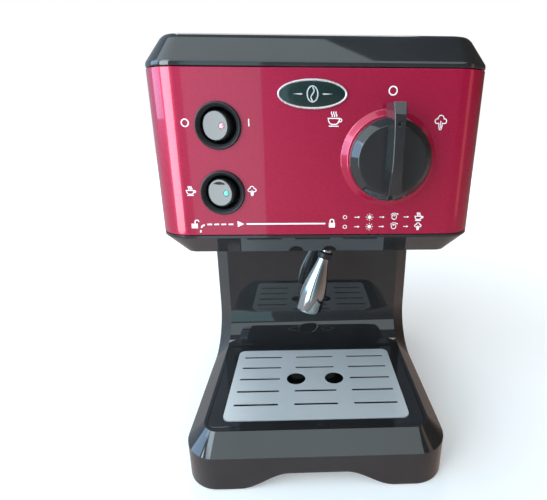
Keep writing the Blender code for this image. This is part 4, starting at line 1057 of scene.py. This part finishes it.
def between(rows, steps):
    """Catmull-Rom rows between a few given ones."""
    padded = [rows[0], *rows, rows[-1]]
    fine = []
    for a, b, c, d in zip(padded, padded[1:], padded[2:], padded[3:]):
        for i in range(steps):
            t = i / steps
            fine.append([0.5 * (2 * q + (r - p) * t + (2 * p - 5 * q + 4 * r - s) * t ** 2
                                + (3 * q - p - 3 * r + s) * t ** 3)
                         for p, q, r, s in zip(a, b, c, d)])
    return fine + [rows[-1]]


def make_fin():
    """Grip across the knob, waisted in the middle; its arched ridge stops at FIN_REACH."""
    rings = []
    for z, depth, half, foot in between(FIN_ROWS, 5):
        depth = min(depth, FIN_REACH)
        corners = ((-foot, FIN_FOOT), (-half, depth), (half, depth), (foot, FIN_FOOT))
        rings.append([(KNOB.x + x, HEAD_FRONT - reach, KNOB.z + z) for x, reach in corners])
    return soften(loft("fin", rings, True), 0.0006, 3, 25)


def make_knob():
    r, face, length = KNOB_RADIUS, KNOB_FACE_RADIUS, KNOB_LENGTH
    bevel = length - KNOB_BEVEL
    back = BOSS_HEIGHT + 0.0004
    drum = turned("knob_drum",
                  [(0, length - 0.0004), (face * 0.5, length - 0.0003), (face - 0.0010, length),
                   (face, length), (face + 0.0004, length - 0.0002), (r - 0.0006, bevel + 0.0008),
                   (r - 0.0001, bevel), (r, bevel - 0.0008), (r, back + 0.0003),
                   (r - 0.0003, back), (0, back)], on_front(KNOB), FACING, 96)
    boolean(drum, make_fin(), "UNION")
    dimple = turned("dimple", [(0, 0.0300), (0.0017, 0.0300), (0.0017, 0.0240), (0, 0.0234)],
                    on_front(KNOB, 0.0003, 0.0205), FACING, 32, cutter=True)
    boolean(drum, dimple)
    place(bake(drum, 30), "steam_knob", "gloss_black", "steam_knob", slot="satin_black")


# ---------------------------------------------------------------- steam wand
WAND_LEAN = math.radians(15.8)
BALL_RADIUS = 0.007
SLEEVE_END, SLEEVE_RADIUS = -0.1015, 0.0129


def wand_piece(name, node, finish, profile, steps=48, angle=40, lean=WAND_LEAN,
               body="steam_wand", ring=False):
    piece = turned(name, profile, WAND_BALL, (0.0, lean, 0.0), steps, ring)
    place(bake(piece, angle), body, finish, node)


def make_wand():
    """Every piece is turned about the ball's centre; all but the ball and its socket lean."""
    ball = [(BALL_RADIUS * math.sin(math.radians(a)), BALL_RADIUS * math.cos(math.radians(a)))
            for a in range(0, 181, 6)]
    wand_piece("swivel_ball", "wand_ball", "chrome", ball, angle=50, lean=0.0, body="wand_ball")
    wand_piece("steam_pipe", "wand_pipe", "chrome",
               [(0, -0.0069), (0.0028, -0.0069), (0.0033, -0.0076), (0.0033, -0.0332),
                (0, -0.0332)], 40, 32)
    wand_piece("sleeve_nut", "wand_nut", "chrome",
               [(0, -0.0333), (0.0034, -0.0333), (0.0042, -0.0338), (0.0050, -0.0350),
                (0.0054, -0.0364), (0.0055, -0.0378), (0.0054, -0.0388), (0.0050, -0.0395),
                (0, -0.0395)])
    wand_piece("sleeve_collar", "wand_collar", "satin_black",
               [(0, -0.0398), (0.0062, -0.0398), (0.0067, -0.0400), (0.0069, -0.0405),
                (0.0069, -0.0412), (0.0066, -0.0415), (0.0066, -0.0437), (0.0069, -0.0440),
                (0.0069, -0.0447), (0.0067, -0.0452), (0.0062, -0.0454), (0, -0.0454)], 64)
    end, r, neck = SLEEVE_END, SLEEVE_RADIUS, 0.0052
    flare = [(neck + (r - neck) * math.sin(i / 18 * math.pi / 2) ** 1.25,
              -0.0475 - 0.0440 * i / 18) for i in range(19)]
    wand_piece("froth_sleeve", "frothing_sleeve", "chrome",
               [(0, -0.0457), (0.0050, -0.0457), *flare, (r, end + 0.0022),
                (r - 0.0002, end + 0.0010), (r - 0.0006, end + 0.0002), (r - 0.0012, end),
                (r - 0.0017, end + 0.0003), (r - 0.0019, end + 0.0010),
                (r - 0.0020, end + 0.0100), (0.0090, -0.0760), (0.0040, -0.0620),
                (0, -0.0620)], 72)
    wand_piece("nozzle", "steam_nozzle", "brass",
               [(0, -0.0623), (0.0026, -0.0623), (0.0026, -0.0870), (0.0024, -0.0885),
                (0.0014, -0.0912), (0.0008, -0.0915), (0, -0.0905)], 32)
    wand_piece("ball_socket", "wand_socket", "satin_black",
               [(0.0074, 0.0060), (0.0084, 0.0060), (0.0086, 0.0058), (0.0086, -0.0028),
                (0.0113, -0.0028), (0.0115, -0.0031), (0.0115, -0.0044), (0.0112, -0.0050),
                (0.0104, -0.0056), (0.0070, -0.0056), (0.0065, -0.0052), (0.0064, -0.0040),
                (0.0074, -0.0010)], 56, lean=0.0, body="machine", ring=True)


# ---------------------------------------------------------------- drip tray and grid
GRID_LOW, GRID_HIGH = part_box("drip_grid")
GRID_RIM, GRID_FIELD = 0.0016, 0.0007
SLOT_ROWS, SLOT_FIRST, SLOT_PITCH, SLOT_HALF = 5, HEAD_FRONT + 0.0296, 0.01702, 0.00135
SLOT_COLUMNS = ((-0.0685, -0.0315), (-0.0185, 0.0185), (0.0315, 0.0685))
DRAIN_CELL, DRAIN_PLACE, DRAIN_RADIUS = (2, 1), 0.0173, 0.0085


def make_tray():
    top = TRAY_HIGH.z
    tray = block("tray_shell", (TRAY_LOW.x, TRAY_LOW.y, top - 0.002),
                 (TRAY_HIGH.x, TRAY_HIGH.y, top), 0.006, True)
    soften(tray, 0.0005, 2, 40)
    inset, round_grid = 0.008, 0.0008
    carve(tray, (TRAY_LOW.x + inset, TRAY_LOW.y + inset, TRAY_LOW.z),
          (TRAY_HIGH.x - inset, TRAY_HIGH.y - inset, top - 0.001), 0.008, True,
          operation="UNION")
    carve(tray, (GRID_LOW.x - round_grid, GRID_LOW.y - round_grid, GRID_LOW.z - GAP),
          (GRID_HIGH.x + round_grid, GRID_HIGH.y + round_grid, top + 0.002), 0.0067, True)
    carve(tray, (-0.0725, GRID_LOW.y + 0.0025, TRAY_LOW.z + 0.002),
          (0.0725, GRID_HIGH.y - 0.0025, top + 0.002), 0.006, True)
    place(bake(tray), "drip_tray", "gloss_black", "drip_tray")


def make_grid():
    """Pressed plate: rounded slots in three columns and two round drains."""
    outline = rounded_rectangle((GRID_LOW.x, GRID_LOW.y), (GRID_HIGH.x, GRID_HIGH.y),
                                (0.006,) * 4, 10)
    r, holes = SLOT_HALF, []
    for row in range(SLOT_ROWS):
        y = SLOT_FIRST + row * SLOT_PITCH
        for column, (x0, x1) in enumerate(SLOT_COLUMNS):
            if (row, column) != DRAIN_CELL:
                holes.append(arc((x1 - r, y), r, -90, 90, 8) + arc((x0 + r, y), r, 90, 270, 8))
    holes += [arc((x, SLOT_FIRST + DRAIN_CELL[0] * SLOT_PITCH), DRAIN_RADIUS, 0, 354, 59)
              for x in (-DRAIN_PLACE, DRAIN_PLACE)]
    grid = sheet("grid_plate", [outline, *holes], GRID_LOW.z, GRID_HIGH.z)
    soften(grid, 0.00015, 2, 40)
    carve(grid, (GRID_LOW.x + GRID_RIM, GRID_LOW.y + GRID_RIM, GRID_LOW.z - 0.001),
          (GRID_HIGH.x - GRID_RIM, GRID_HIGH.y - GRID_RIM, GRID_HIGH.z - GRID_FIELD),
          0.005, True)
    place(bake(grid, 40), "drip_grid", "silver_steel", "drip_grid")


# ---------------------------------------------------------------- water tank
TANK_LOW, TANK_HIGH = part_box("water_tank")
TANK_TOP, TANK_WALL, LEVEL_MARKS = 0.2890, 0.0022, 7


def make_tank():
    top, rear = TANK_TOP, REAR - 0.0025
    wall, corner = TANK_WALL, 0.010
    tank = block("tank_shell", TANK_LOW, (TANK_HIGH.x, rear, top), corner, True, 10)
    soften(tank, 0.0008, 3, 40)
    carve(tank, TANK_LOW + Vector((wall,) * 3), (TANK_HIGH.x - wall, rear - wall, top + 0.01),
          corner - wall, True, 10)
    boolean(tank, drill((0, OUTLET_Y, TANK_LOW.z), 0.0055, reach=0.01))
    for side in (-1, 1):
        low, high = side * LUG_PLACE - LUG_HALF, side * LUG_PLACE + LUG_HALF
        front = LID_HINGE.y - LUG_REACH
        carve(tank, (low, front, top - 0.008), (high, REAR - 0.0030, top - 0.0004),
              operation="UNION")
        carve(tank, (low, front, top - 0.0085),
              (high, LID_HINGE.y + LUG_REACH, LID_HINGE.z + LUG_REACH), operation="UNION")
    boolean(tank, drill(LID_HINGE, 0.0016, (0, math.pi / 2, 0), 0.06))
    for i in range(LEVEL_MARKS):
        z = 0.140 + 0.020 * i
        half = 0.010 if i in (0, LEVEL_MARKS - 1) else 0.005
        carve(tank, (0.050 - half, REAR - 0.0030, z - 0.0004),
              (0.050 + half, REAR - 0.0020, z + 0.0004), operation="UNION")
    place(bake(tank), "water_tank", "smoked_plastic", "water_tank")


# ---------------------------------------------------------------- pieces kept from the frame
def finish_frame_nodes():
    """Every CAD node that still shows takes its slot's procedural finish."""
    slots = {row["node"]: row["material_slot"] for row in frame["record"]["subparts"]}
    for name, item in frame["nodes"].items():
        if item.hide_render:
            continue
        item.data.materials.clear()
        item.data.materials.append(FINISH[slots[name]])
        item.data.shade_smooth()
        item.data.set_sharp_from_angle(angle=math.radians(32))


def main():
    make_camera()
    make_studio()
    make_body()
    make_fascia()
    make_head_housing()
    make_cover()
    make_lid()
    make_badge()
    make_prints()
    make_switch("power", "red_lens")
    make_switch("mode", "green_lens")
    make_knob()
    make_wand()
    make_tray()
    make_grid()
    make_tank()
    drop_cutters()
    finish_frame_nodes()


main()
